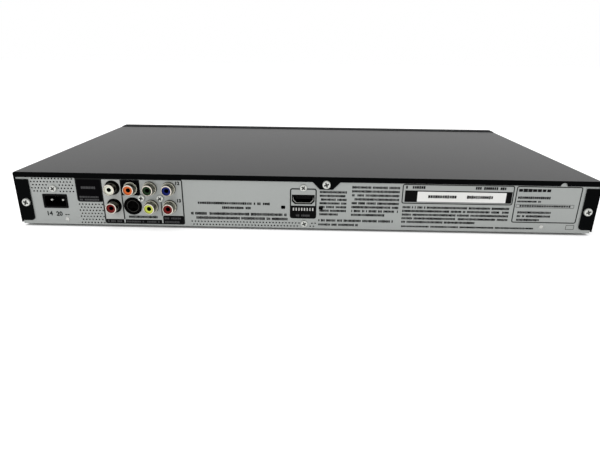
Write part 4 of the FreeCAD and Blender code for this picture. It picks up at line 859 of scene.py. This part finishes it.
# Painted highlight: the bead is a brighter nickel than the collar it sits on.
bead_nickel = grained("collar_highlight_nickel", (0.60, 0.58, 0.50), 0.25, grain=1.0, tone=0.3, drift=0.4,
                      metal=1.0)
fit_copies("collar_beads", lathe(bead, 36), on_panel(video_jacks), bead_nickel)
ring_front = reach - 1.15
ring = [(1.6, -0.8), (3.6, -0.8), (3.6, ring_front), (3.2, ring_front + 0.1), (2.6, ring_front),
        (1.7, ring_front - 0.08), (1.6, ring_front - 0.3)]
ring_colours = (
    ("white", (0.88, 0.90, 0.78), audio_jacks[:1], "rca_insulator_white"),
    ("red", (0.17, 0.007, 0.006), [audio_jacks[1], video_jacks[1]], "rca_insulators_red"),
    ("orange", (0.72, 0.15, 0.035), video_jacks[4:], "rca_insulator_orange"),
    ("green", (0.008, 0.030, 0.008), video_jacks[2:3], "rca_insulator_green"),
    ("blue", (0.005, 0.013, 0.13), video_jacks[:1], "rca_insulator_blue"),
    ("yellow", (0.62, 0.70, 0.10), video_jacks[3:4], "rca_insulator_yellow"),
)
for colour, value, places, node in ring_colours:
    plastic = grained(f"{colour}_ring_plastic", value, 0.35, grain=0.7, tone=0.05, drift=0.03,
                      specular=0.12)
    fit_copies(f"{colour}_jack_ring", lathe(ring, 36), on_panel(places), plastic, (node,))
mouth = reach - 1.25
bore = [(0, -0.5), (1.59, -0.5), (1.59, mouth), (1.35, mouth), (1.3, mouth - 0.5), (1.3, 0), (0, 0)]
# Painted shade: each bore is a closed near-black cup.
fit_copies("centre_contacts", lathe(bore, 24, closed=False), on_panel(video_jacks + audio_jacks),
           shadow_black)
print("seven jacks in", len(ring_colours), "colours")

# %% [markdown]
# The round video socket is a black cup with a thin liner, and a face with four
# square pin holes and a key slot. The liner is painted near black as shade, with a
# painted highlight at its front rim. The holes are cut into the face with a
# Boolean, which is the plain way when there are only a few.

# %% Make the round video socket
def combined(first, second, operation):
    """Runs a Boolean on two shapes and returns the result as a plain mesh."""
    pair = []
    for label, shape in (("first", first), ("second", second)):
        pair.append(bpy.data.objects.new(label, as_mesh(shape, label)))
        scene.collection.objects.link(pair[-1])
    joiner = pair[0].modifiers.new("join", "BOOLEAN")
    joiner.operation = operation
    joiner.solver = "EXACT"
    joiner.object = pair[1]
    result = made_plain(pair[0])
    for part in pair:
        bpy.data.objects.remove(part)
    return result


sx, sz = round_socket_at
socket_centre = (sx, panel_y, sz)
cup = lathe([(0, -9), (6.4, -9), (6.4, 0.02), (6.75, 0.02), (6.75, 0.4), (6.4, 0.8), (4.9, 0.8), (4.6, 0.5),
             (4.6, -8), (0, -8)], 48, centre=socket_centre, closed=False)
fit_piece("video_socket_cup", cup, shadow_black, ("svideo_socket",))
face = lathe([(0, -8), (3.9, -8), (3.9, -0.9), (3.6, -0.6), (0, -0.6)], 40, centre=socket_centre,
             closed=False)
pin_half = 0.5
openings = [(px - pin_half, px + pin_half, pz - pin_half, pz + pin_half)
            for px, pz in ((-2.0, 0.4), (2.0, 0.4), (-1.5, 2.2), (1.5, 2.2))]
openings.append((-1.3, 1.3, -3.2, -1.9))
holes = [block((sx + x0, panel_y - 5, sz + z0), (sx + x1, panel_y + 1, sz + z1), 0)
         for x0, x1, z0, z1 in openings]
fit_piece("video_socket_face", combined(face, merged(*holes), "DIFFERENCE"), shadow_black,
          ("svideo_insulator",))
liner = lathe([(4.59, -7.9), (4.59, 0.3), (4.32, 0.3), (4.32, -7.9)], 40, centre=socket_centre)
# Painted shade on the liner, with a painted highlight blended in at its front rim.
shaded_liner = grained("shaded_liner", (0.006, 0.006, 0.006), 0.3, metal=0.6, specular=0.1)
painted_light_band(shaded_liner, (0.06, 0.06, 0.055), panel_y - 0.2, panel_y + 0.25)
fit_piece("video_socket_liner", liner, shaded_liner)
print("round socket with", len(openings), "openings")

# %% [markdown]
# Two more shapes are needed for folded and moulded mouths. One is an open cup between
# an outer and an inner outline, with a rim and a floor. The other softens the
# corners of an outline, as a folded sheet never has a sharp one.

# %% Write the open cup
def shell_between(outer, inner, back_y, front_y, floor_y):
    """An open cup along Y: an outer skin, a rim at the front and an inner skin down to a floor."""
    mesh = bmesh.new()
    loops = [[mesh.verts.new(Vector((x, y, z)) * mm) for x, z in points]
             for points, y in ((outer, back_y), (outer, front_y), (inner, front_y), (inner, floor_y))]
    for near, far in zip(loops, loops[1:]):
        bridge(mesh, near, far)
    mesh.faces.new(loops[0])
    mesh.faces.new(loops[-1])
    return outwards(mesh)


def softened(points, r=0.5, steps=3):
    """Rounds every corner of an outline with a small curve."""
    result = []
    for k, corner in enumerate(points):
        here = Vector(corner)
        a, b = (here + (Vector(other) - here).normalized() * r
                for other in (points[k - 1], points[(k + 1) % len(points)]))
        for s in range(steps + 1):
            t = s / steps
            result.append(tuple((1 - t) ** 2 * a + 2 * t * (1 - t) * here + t * t * b))
    return result


print("a softened socket has", len(softened(flat_socket_outline())), "corners")

# %% [markdown]
# The flat digital socket is folded from thin bright steel that only shows at its mouth.
# Its steel is painted dark as shade, with a painted highlight along the lower front rim only,
# and it stands in a gap that a black surround fills as painted shade. It stands on two legs
# that reach the board, with a black tongue that carries a row of gilt contacts. The contacts
# are copies of one small strip.

# %% Fold the flat digital socket
hx, hz = flat_socket_at
painted_shade_steel = (0.015, 0.015, 0.015)
leg_x = 6.3
leg_foot_z = 11.6
contacts = 10
mouth_steel = grained("folded_socket_steel", painted_shade_steel, 0.35, grain=1.0, tone=0.1, metal=0.8, specular=0.1)
# Painted highlight: a pale line along the front rim of the shell.
painted_light_band(mouth_steel, (0.38, 0.38, 0.36), panel_y - 0.42, panel_y - 0.34)
# Painted shade: above the middle the rim goes back to dark, so only the lower rim is lit.
painted_light_band(mouth_steel, painted_shade_steel, hz + 0.8, hz + 1.8, axis="Z")
socket = shell_between(softened(flat_socket_outline()), softened(flat_socket_outline(-0.25)),
                       panel_y - 11, panel_y - 0.3, panel_y - 10)
legs = [block((hx + side * leg_x - 0.6, panel_y - 9.8, leg_foot_z),
              (hx + side * leg_x + 0.6, panel_y - 7.4, hz - 1.0), 0.1) for side in (-1, 1)]
fit_piece("digital_socket_shell", merged(socket, *legs), mouth_steel, ("hdmi_shell",))
# Painted shade: a near-black surround fills the gap round the shell.
surround = shell_between(flat_socket_outline(0.93), flat_socket_outline(0.04), panel_y - 10, panel_y - 0.95,
                         panel_y - 9.9)
fit_piece("digital_socket_surround", surround, shadow_black)
tongue = block((hx - 5.7, panel_y - 10, hz - 0.45), (hx + 5.7, panel_y - 3.0, hz + 1.25))
fit_piece("digital_socket_tongue", tongue, black_moulding, ("hdmi_tongue",))
gilt = grained("contact_gilt", (0.42, 0.30, 0.12), 0.3, metal=1.0)
strip = block((-0.2, -5.0, -0.06), (0.2, 0, 0.06), 0.03, 1)
strip_places = [(hx - 4.5 + k, panel_y - 3.5, hz - 0.47 + 1.72 * (k % 2)) for k in range(contacts)]
fit_copies("digital_socket_contacts", strip, strip_places, gilt)
print("digital socket with", contacts, "contacts")

# %% [markdown]
# The mains inlet is a deep black box with two round-nosed pins. It has a thin flange
# behind the panel, a lug above it that the screw pulls against, and a stand below it.
# The pins are turned, and only their noses catch the light.

# %% Mould the mains inlet
ix, iz = inlet_at
pin_x = 4.3
outer_wall = rounded_about(ix, iz, inlet_half_x, inlet_half_z, 0.6, 3)
inner_wall = rounded_about(ix, iz, 7.8, 4.05, 1.2, 3)
flange_wall = rounded_about(ix, iz, 10.6, 6.85, 0.8, 3)
case = shell_between(outer_wall, inner_wall, panel_y - 13, panel_y + 0.4, panel_y - 11)
flange = shell_between(flange_wall, outer_wall, panel_y - 13, panel_y - 0.85, panel_y - 12.9)
lug = block((ix - 4.1, panel_y - 5.8, iz + 6.5), (ix + 4.1, panel_y - 0.85, iz + 13.0), 0.3)
stand = block((ix - inlet_half_x, panel_y - 13, leg_foot_z), (ix + inlet_half_x, panel_y - 11, iz - 5.3))
fit_piece("mains_inlet_box", merged(case, flange, lug, stand), black_moulding,
          ("ac_inlet_housing",))
pin = lathe([(0, -15), (1.2, -15), (1.2, -3.4), (1.05, -2.9), (0.7, -2.6), (0, -2.5)], 24, closed=False)
pin_steel = grained("inlet_pin_steel", (0.36, 0.36, 0.34), 0.25, metal=1.0)
fit_copies("mains_inlet_pins", pin, on_panel([(ix - pin_x, iz), (ix + pin_x, iz)]), pin_steel,
           ("ac_inlet_pins",))
print(f"inlet pins {2 * pin_x} mm apart")

# %% [markdown]
# The screws are pan heads with a cross recess. A recess is only two short slots that
# cross, so they are joined, cut from one head, and that head is copied. The faces
# inside the recess get a darker finish, as painted shade.

# %% Cut the screw head
head_high = 1.5


def pan_head(radius, axis, side=1, reach=5.0):
    """A domed head at the origin, facing along the axis, with its shank behind."""
    dome = [(0, -reach), (1.4, -reach), (1.4, 0), (radius, 0), (radius, head_high * 0.45),
            (radius * 0.9, head_high * 0.8), (radius * 0.62, head_high), (0, head_high)]
    head = lathe([(r, h * side) for r, h in dome], 28, axis, closed=False)
    arm, width, depth = radius * 0.6, radius * 0.19, head_high * 0.6

    def slot(a, b):
        bottom, above = head_high - depth, head_high + 1
        if axis == "y":
            return block((-a, bottom, -b), (a, above, b), 0)
        near, far = (bottom, above) if side > 0 else (-above, -bottom)
        return block((near, -a, -b), (far, a, b), 0)

    cross = combined(slot(arm, width), slot(width, arm), "UNION")
    cut = combined(head, cross, "DIFFERENCE")
    along = "xyz".index(axis)
    cut.materials.clear()
    cut.materials.append(screw_plate)
    cut.materials.append(recess_shade)
    # Faces inside the recess take the painted shade finish.
    for face in cut.polygons:
        out = face.center[along] * side / mm
        foot = [middle if k == along else 0 for k, middle in enumerate(face.center)]
        aside = math.dist(face.center, foot) / mm
        in_recess = head_high - depth - 0.01 < out < head_high * 0.985 and aside < arm + 0.02
        face.material_index = 1 if in_recess else 0
    return cut


print(f"heads {head_high} mm high")

# %% [markdown]
# Larger screws hold the cover: three at the rear and one in each side wall. Smaller
# ones hold the sockets. Each is twisted by chance about its own axis. Two bright
# rivets near the foot of the panel are plain domes.

# %% Drive the screws and rivets
cover_y = 111.45
side_x = 215.0
side_y = panel_y - 120
side_z = foot_high + 7
case_head_r = 3.1
socket_head_r = 2.65
twist = math.radians(80)
both_plates = (screw_plate, recess_shade)
rear_heads = copies_of(pan_head(case_head_r, "y"), [(x, cover_y, z) for x, z in case_screws], screw_plate,
                       (0, twist, 0), 4)
side_heads = [copies_of(pan_head(case_head_r, "x", side), [(side * side_x, side_y, side_z)], screw_plate,
                        (twist, 0, 0), 5 + side) for side in (-1, 1)]
fit_piece("case_screws", merged(rear_heads, *side_heads), both_plates, ("cover_screws",))
socket_heads = copies_of(pan_head(socket_head_r, "y"), on_panel(small_screws), screw_plate, (0, twist, 0), 9)
fit_piece("socket_screws", socket_heads, both_plates, ("connector_screws",))
rivet = lathe([(0, -0.1), (1.5, -0.1), (1.5, 0.2), (1.2, 0.45), (0, 0.5)], 20, closed=False)
rivet_bright = grained("rivet_bright", (0.50, 0.50, 0.48), 0.25, grain=0.5, metal=0.6)
fit_copies("panel_rivets_round", rivet, on_panel([(180.2, 6.1), (-177.2, 6.6)]), rivet_bright,
           ("panel_rivets",))
print(len(case_screws) + len(side_heads) + len(small_screws), "screws driven")

# %% [markdown]
# The panel is printed with frames, bars and blocks, with plain numbers beside the
# sockets, and with rows of short dashes for fine print. Ink could be painted as a
# picture, but here it is modelled as films a few hundredths of a millimetre thick, so
# its edges stay sharp at any distance and it lies on the steel as real ink does.

# %% Mix the inks
ink_black = grained("ink_black", (0.0014, 0.0014, 0.0016), 0.32, grain=0.6, specular=0.04)
ink_dark = grained("ink_dark_grey", (0.0012, 0.0010, 0.0015), 0.3, grain=0.6, specular=0.02)
ink_grey = grained("ink_line_grey", (0.005, 0.006, 0.0055), 0.4, grain=0.6, specular=0.1)
ink_pale = grained("ink_pale_grey", (0.46, 0.47, 0.455), 0.45, grain=0.8)
ink_white = grained("ink_white", (0.55, 0.55, 0.53), 0.5, grain=0.6)
ink_dim = grained("ink_dim_grey", (0.048, 0.048, 0.05), 0.5, grain=0.6, specular=0.2)
ink_fine = grained("ink_fine_print", (0.004, 0.004, 0.0045), 0.45, grain=0.5, specular=0.06)
label_paper = grained("label_paper", (0.80, 0.80, 0.78), 0.55, grain=0.5, depth=0.004)
film = 0.05
print(f"inks in films of {film} mm")

# %% [markdown]
# Frames and bars are screen printed, so they have even edges and round corners. A
# patch is a very thin plate, and a frame is a flat ring between two outlines. Heights
# are given above the chassis, as they are measured on the panel.

# %% Write the ink films
ink_root = panel_y - 0.02


def z_of(height):
    return foot_high + height


def ink_patch(x0, x1, h0, h1, corner=0.3, layer=1):
    """A solid patch of ink between two heights above the chassis underside."""
    return cut_plate(rounded(x0, x1, z_of(h0), z_of(h1), corner, 4), "y", ink_root, panel_y + film * layer)


def ink_frame(x0, x1, h0, h1, corner, line, layer=1):
    """A line of ink round a rectangle."""
    outer = rounded(x0, x1, z_of(h0), z_of(h1), corner)
    inner = rounded(x0 + line, x1 - line, z_of(h0) + line, z_of(h1) - line, max(corner - line, 0.1))
    face_y = panel_y + film * layer
    mesh = bmesh.new()
    loops = [[mesh.verts.new(Vector((x, y, z)) * mm) for x, z in points]
             for points, y in ((outer, ink_root), (outer, face_y), (inner, face_y), (inner, ink_root))]
    for near, far in zip(loops, loops[1:] + loops[:1]):
        bridge(mesh, near, far)
    return outwards(mesh)


print(f"ink lies from {ink_root:.2f} to {panel_y + film:.2f} mm")

# %% [markdown]
# The frames go round the groups of sockets and the labels, and the bars lie at their
# feet. Films that lie over others are a little thicker, so that no two faces share
# a plane and flicker. The pale field round the audio jacks is cut where their holes are.

# %% Print the frames, bars and blocks
over = 1.2
line_over = 1.4
hole_tool = [(0, -1), (audio_hole_r, -1), (audio_hole_r, 1), (0, 1)]
jack_holes = [lathe(hole_tool, 28, centre=place, closed=False) for place in on_panel(audio_jacks)]
pale_field = combined(ink_patch(137.0, 150.4, 4.9, 35.4, 0.4), merged(*jack_holes), "DIFFERENCE")
fit_piece("pale_audio_field", pale_field, ink_pale)
printed = {
    "printed_lines": (ink_grey, [
        ink_frame(90.7, 151.4, 1.1, 36.5, 1.7, 0.9, line_over),
        # Partly painted shade: this patch frames the dark block as a printed outline, and its band above the
        # block also stands for the cover's shadow.
        ink_patch(150.7, 170.2, 18.0, 37.7, 1.8),
        ink_patch(136.0, 136.85, 4.7, 35.4, 0.1, line_over),
        ink_patch(107.2, 107.95, 8.0, 21.5, 0.1, line_over),
        ink_frame(-8.4, 11.4, 7.8, 31.3, 1.8, 0.95),
        ink_frame(-152.7, -71.1, 21.0, 36.0, 1.6, 0.75),
        ink_frame(-202.0, -154.1, 7.6, 35.9, 1.6, 0.75),
        ink_frame(-198.2, -155.6, 19.4, 22.1, 0.5, 0.25),
        ink_frame(-201.5, -195.3, 2.7, 6.3, 0.4, 0.3),
    ]),
    "printed_dark_blocks": (ink_dark, [
        ink_patch(151.3, 169.5, 18.8, 35.3, 1.2, over),
        ink_patch(122.5, 136.3, 23.6, 35.5, 0.3, over),
    ]),
    "printed_black_bars": (ink_black, [
        ink_patch(137.0, 150.5, 1.2, 4.6, 0.2, over),
        ink_patch(108.2, 135.9, 1.2, 4.6, 0.2, over),
        ink_patch(91.3, 107.2, 1.2, 8.1, 1.2, over),
        ink_patch(-8.1, 11.1, 8.0, 17.9, 1.2, over),
        ink_patch(-151.6, -73.2, 22.3, 31.2, 0.4, over),
    ]),
}
for name, (ink, shapes) in printed.items():
    fit_piece(name, merged(*shapes), ink)
    print(name, len(shapes))
label_outline = rounded(-147.3, -82.4, z_of(22.7), z_of(30.4), 0.3, 3)
fit_piece("blank_label", cut_plate(label_outline, "y", panel_y + 0.06, panel_y + 0.13), label_paper)

# %% [markdown]
# Plain numbers stand beside two of the jacks and below the mains inlet. A Text object
# gives good digits. It lies flat on its own plane, so it is made a mesh first, then
# stood up and turned to face the rear, where the panel is read.

# %% Set plain numbers beside the sockets
number_out = 0.03


def number(text, x, height, size):
    """A number, printed on the panel and read from behind the player."""
    letter = bpy.data.curves.new("number", "FONT")
    letter.body = text
    letter.size = size * mm
    letter.align_x, letter.align_y = "CENTER", "CENTER"
    letter.extrude = 0.02 * mm
    letter.offset = 0.18 * mm
    letter.resolution_u = 3
    carrier = bpy.data.objects.new("number", letter)
    scene.collection.objects.link(carrier)
    data = made_plain(carrier)
    bpy.data.objects.remove(carrier)
    place = Matrix.Translation(Vector((x, panel_y + number_out, z_of(height))) * mm)
    data.transform(place @ Matrix.Rotation(math.pi, 4, "Z") @ Matrix.Rotation(math.radians(90), 4, "X"))
    return data


jack_numbers = [number("12", 94.6, 33.3, 3.5), number("13", 94.3, 19.9, 3.5)]
inlet_numbers = [number("14", 193.1, 8.2, 4.7), number("20", 185.7, 8.0, 4.7)]
fit_piece("dark_numbers", merged(*jack_numbers), ink_fine)
fit_piece("inlet_numbers", merged(*inlet_numbers), ink_grey)
print(len(jack_numbers) + len(inlet_numbers), "numbers set")

# %% [markdown]
# Fine print is a set of rows of short dashes. Their lengths come from a seeded chance in a
# Geometry Nodes tree: each dash is the same thin strip, drawn out along its row, on
# a point of a grid, with a few points left out as gaps between words.

# %% Grow the tree of dashes
def dash_tree():
    tree, asked, made = new_tree("rows_of_dashes", "GeometryNodeTree", {
        "Geometry": ("Geometry", None), "Letter": ("Float", 1.0 * mm), "Height": ("Float", 0.9 * mm),
        "Word Gap Chance": ("Float", 0.2), "Seed": ("Int", 1), "Ink": ("Material", None),
    }, {"Geometry": "Geometry"})
    places = add_node(tree, "GeometryNodeMeshToPoints")
    keep = add_node(tree, "FunctionNodeRandomValue", data_type="BOOLEAN")
    drop = add_node(tree, "GeometryNodeDeleteGeometry", domain="POINT")
    size = add_node(tree, "ShaderNodeCombineXYZ", {"Y": film * mm})
    strip = add_node(tree, "GeometryNodeMeshCube")
    width = add_node(tree, "FunctionNodeRandomValue", {"Min": (0.74, 1, 0.78), "Max": (1.0, 1, 1.0)},
                     data_type="FLOAT_VECTOR")
    copies = add_node(tree, "GeometryNodeInstanceOnPoints")
    real = add_node(tree, "GeometryNodeRealizeInstances")
    finish = add_node(tree, "GeometryNodeSetMaterial")
    wire(tree, (asked, "Geometry", places, "Mesh"), (asked, "Word Gap Chance", keep, "Probability"),
         (asked, "Seed", keep, "Seed"), (asked, "Seed", width, "Seed"),
         (places, "Points", drop, "Geometry"), (keep, "Value", drop, "Selection"),
         (asked, "Letter", size, "X"), (asked, "Height", size, "Z"), (size, 0, strip, "Size"),
         (drop, "Geometry", copies, "Points"), (strip, "Mesh", copies, "Instance"),
         (width, "Value", copies, "Scale"), (copies, "Instances", real, "Geometry"),
         (real, "Geometry", finish, "Geometry"), (asked, "Ink", finish, "Material"),
         (finish, "Geometry", made, "Geometry"))
    return tree


rows_of_dashes = dash_tree()
print("rows_of_dashes has", len(rows_of_dashes.nodes), "nodes")

# %% [markdown]
# Each block of print is a row of numbers: its two sides, its two heights, how many rows
# it has, the pitch of its dashes and the share of a row's height that they fill.
# A list like this is easy to compare with the panel, and to mend by eye.

# %% List the blocks of fine print
fine_share = 0.64
line_share = 0.74
fine_blocks = [
    (-31.5, -10.6, 10.0, 30.2, 7, 1.0, fine_share), (-70.0, -34.3, 9.9, 34.3, 8, 1.0, fine_share),
    (-66.3, -10.0, 5.3, 8.0, 1, 1.0, line_share), (-40.5, -10.0, 2.0, 4.6, 1, 1.0, line_share),
    (-152.0, -72.2, 5.2, 19.6, 5, 1.0, fine_share), (-172.2, -72.4, 2.0, 4.1, 1, 1.1, 0.7),
    (12.9, 85.8, 8.9, 12.0, 1, 1.0, line_share), (12.9, 82.0, 5.6, 8.6, 1, 1.0, line_share),
    (-183.0, -157.5, 8.4, 17.2, 3, 0.95, fine_share), (-197.0, -158.0, 19.9, 21.7, 1, 1.8, 0.8),
    (-181.0, -156.0, 25.9, 28.4, 1, 1.5, 0.8), (-173.5, -155.9, 23.3, 25.1, 1, 1.1, 0.8),
    (25.4, 80.3, 17.4, 20.2, 1, 1.35, 0.75), (40.2, 62.2, 13.9, 16.7, 1, 1.35, 0.75),
    (110.5, 134.2, 5.5, 8.0, 1, 1.0, 0.85), (-88.2, -73.4, 32.2, 34.9, 1, 1.6, 0.85),
    (-147.8, -124.2, 32.3, 35.0, 1, 1.5, 0.85), (-179.4, -155.6, 31.1, 34.3, 1, 3.4, 0.8),
]
inlet_blocks = [(178.0, 181.6, 6.6, 8.6, 1, 1.8, 0.4)]
label_blocks = [(-112.0, -90.2, 25.1, 28.3, 1, 1.75, 0.8), (-139.4, -118.7, 25.2, 28.3, 1, 1.6, 0.8)]
dim_blocks = [
    (155.6, 166.4, 27.6, 30.4, 1, 1.2, 0.75), (153.0, 168.4, 18.6, 22.8, 2, 1.2, 0.7),
    (137.9, 149.5, 1.8, 4.1, 1, 1.2, 0.7), (121.9, 135.2, 1.8, 4.1, 1, 1.2, 0.7),
    (108.6, 119.7, 1.8, 4.1, 1, 1.2, 0.7), (92.8, 106.2, 1.6, 7.4, 2, 1.25, 0.55),
    (-3.9, 6.9, 9.0, 11.4, 1, 1.3, 0.7),
]
bold_blocks = [(-6.7, 9.7, 13.6, 16.6, 1, 2.05, 0.85)]
print(len(fine_blocks + inlet_blocks + label_blocks + dim_blocks + bold_blocks), "blocks of print")

# %% [markdown]
# The tree now runs once for each block, with a seed of its own so that no two blocks
# break at the same places. Blocks in one ink are merged into one piece. The last
# row of a longer block is shorter, as the end of a paragraph is.

# %% Print the rows of dashes
on_steel = 0.02
on_ink = 0.07
on_label = 0.14
last_row_in = 0.3


def fine_print(ink, seed, block_of_print, base, gaps, fill):
    """Rows of dashes between two sides and two heights."""
    x0, x1, h0, h1, rows, letter, share = block_of_print
    rise = (h1 - h0) / rows
    places = []
    for row in range(rows):
        z = z_of(h1 - rise * (row + 0.5))
        start = x0 + (last_row_in * (x1 - x0) if row == rows - 1 and rows > 2 else 0)
        count = int((x1 - start) / letter + 0.01)
        places += [(x1 - letter * (k + 0.5), panel_y + base, z) for k in range(count)]
    return grown(rows_of_dashes, dotted("letters", places), {
        "Letter": letter * fill * mm, "Height": rise * share * mm, "Word Gap Chance": gaps,
        "Seed": seed, "Ink": ink})


first_seed = 11
for name, ink, blocks, base, gaps, fill in (
        ("fine_print_dashes", ink_fine, fine_blocks, on_steel, 0.07, 0.95),
        ("inlet_dashes", ink_grey, inlet_blocks, on_steel, 0.0, 0.95),
        ("label_dashes", ink_fine, label_blocks, on_label, 0.08, 0.95),
        ("dim_dashes", ink_dim, dim_blocks, on_ink, 0.08, 0.95),
        ("bold_dashes", ink_white, bold_blocks, on_ink, 0.0, 0.48)):
    rows_made = [fine_print(ink, first_seed + k, one, base, gaps, fill) for k, one in enumerate(blocks)]
    dashes = fit_piece(name, merged(*rows_made), ink)
    print(name, len(dashes.data.polygons), "faces")

# %% [markdown]
# The front is not in the portrait, so it is kept plain: each button gets the symbol
# that such a key has on any player, as a film of pale ink above it. The buttons are
# found from their own boxes, so the symbols stay over them.

# %% Mark the front buttons
front_y = -117.35
above_button = 2.6
square = 0.95


def arc_band(inner, outer, start, end, steps=14):
    """Part of a ring, from one angle to another in degrees."""
    turns = [math.radians(start + (end - start) * k / steps) for k in range(steps + 1)]
    band = [(outer * math.cos(turn), outer * math.sin(turn)) for turn in turns]
    return band + [(inner * math.cos(turn), inner * math.sin(turn)) for turn in reversed(turns)]


def over_button(node, outline):
    """A film of ink over a button, from an outline about the symbol's middle."""
    low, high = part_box(node)
    x, z = (low[0] + high[0]) / 2 / mm, high[2] / mm + above_button
    return cut_plate([(x + a, z + b) for a, b in outline], "y", front_y - film, front_y + 0.02)


symbols = [over_button(node, outline) for node, outline in (
    ("play_button", [(-0.9, -1.1), (1.1, 0), (-0.9, 1.1)]),
    ("stop_button", rectangle(-square, square, -square, square)),
    ("open_close_button", [(-1.2, -0.3), (1.2, -0.3), (0, 1.1)]),
    ("open_close_button", rectangle(-1.2, 1.2, -1.1, -0.7)),
    ("power_button", arc_band(0.85, 1.2, 125, 415)),
    ("power_button", rectangle(-0.18, 0.18, 0.2, 1.5)),
)]
fit_piece("button_symbols", merged(*symbols), ink_white)
print("front symbols:", len(symbols))

# %% [markdown]
# Nodes whose solid is already right keep it and only get a finish. The cover is one of
# them: a folded sheet with a soft bend, an edge band, a screw tab and two ears.

# %% Finish the case nodes
def dress(material, *names):
    """Gives a finish to nodes that keep their own solid."""
    for name in names:
        data = nodes[name].data
        data.materials.clear()
        data.materials.append(material)
    print(material.name, "on", ", ".join(names))


dress(cover_paint, "top_cover")
dress(chassis_steel, "bottom_chassis")
dress(foot_rubber, "feet")
dress(front_gloss, "front_fascia", "tray_front")
dress(black_moulding, "jack_blocks", "objective_lens", "turntable", "key_switches")
dress(gilt, "rca_contacts")
dress(screw_plate, "loader_screws")

# %% [markdown]
# Inside, the loader and its gears are moulded plastics, which have a fine even grain
# and little shine. Rubber is duller still, and the gears are left in their natural
# pale colour so that their teeth can be seen.

# %% Finish the plastics and rubbers inside
dress(grained("loader_plastic", (0.014, 0.014, 0.015), 0.5, grain=0.5, depth=0.02, specular=0.25),
      "loader_frame", "traverse_frame")
dress(grained("tray_plastic", (0.008, 0.008, 0.009), 0.42, grain=0.35, depth=0.03, tone=0.2,
              specular=0.25), "tray")
dress(grained("gear_plastic", (0.72, 0.70, 0.62), 0.4, grain=0.7, depth=0.005),
      "drive_gear", "pulley_gear", "motor_pulley", "cam_slider")
dress(grained("clamper_plastic", (0.55, 0.55, 0.52), 0.4, grain=0.6, depth=0.01), "clamper_puck")
dress(grained("belt_rubber", (0.014, 0.014, 0.014), 0.7, grain=0.3, depth=0.01), "loading_belt")
dress(grained("damper_rubber", (0.03, 0.03, 0.035), 0.6, grain=0.5), "rubber_dampers")

# %% [markdown]
# Metals differ in how they were made. Drawn cans and ground rods have lines along one
# way, so their grain is stretched; pressed and cast pieces have a coarse even one.
# All of them are metal by nearly their whole share.

# %% Finish the metals inside
dress(grained("motor_can_steel", (0.55, 0.55, 0.54), 0.3, grain=0.6, stretch=(1, 1, 0.1), tone=0.2,
              metal=1.0), "loading_motor", "spindle_motor", "feed_motor")
dress(grained("pressed_steel", (0.44, 0.45, 0.46), 0.35, grain=1.2, tone=0.15, metal=0.95),
      "mecha_plate", "clamp_bridge")
dress(grained("ground_rod_steel", (0.70, 0.70, 0.70), 0.15, grain=0.5, stretch=(1, 0.1, 1), metal=1.0),
      "guide_rods", "lead_screw")
dress(grained("die_cast_sled", (0.30, 0.30, 0.31), 0.45, grain=1.0, depth=0.02, metal=0.9), "pickup_sled")
dress(grained("heatsink_aluminium", (0.58, 0.59, 0.60), 0.35, grain=0.6, stretch=(1, 0.1, 1), metal=1.0),
      "power_heatsink")

# %% [markdown]
# The boards have tracks under a green lacquer, or bare tan paper for the power board,
# which a coarse tone in the grain hints at. Chips, tape, sleeves and the ribbon each
# have their usual colour. The buttons and the smoked window close the front.

# %% Finish the boards and the front pieces
dress(grained("board_green", (0.012, 0.10, 0.035), 0.3, grain=2.5, tone=0.5), "main_board", "front_board")
dress(grained("board_tan", (0.42, 0.27, 0.12), 0.45, grain=2.5, tone=0.2), "power_board")
dress(grained("chip_black", (0.02, 0.02, 0.022), 0.5, depth=0.005), "board_chips")
dress(grained("winding_tape", (0.62, 0.44, 0.06), 0.35, grain=2.0, tone=0.1), "power_transformer")
dress(grained("capacitor_sleeve", (0.02, 0.025, 0.06), 0.25, grain=4.0), "power_capacitors")
dress(grained("ribbon_white", (0.66, 0.66, 0.62), 0.4, grain=1.27, stretch=(1, 0.0, 0.0), tone=0.9),
      "front_ribbon")
dress(grained("display_dark", (0.02, 0.05, 0.045), 0.12, grain=5), "display_module")
dress(grained("smoked_window", (0.0006, 0.0008, 0.001), 0.05, grain=40, specular=0.12), "display_window")
dress(grained("button_lacquer", (0.20, 0.205, 0.21), 0.25, grain=0.25, tone=0.3, metal=0.6, coat=0.4),
      "open_close_button", "stop_button", "play_button", "power_button")
print("bare nodes:", [n for n, o in nodes.items() if not o.data.materials or not o.data.materials[0]])
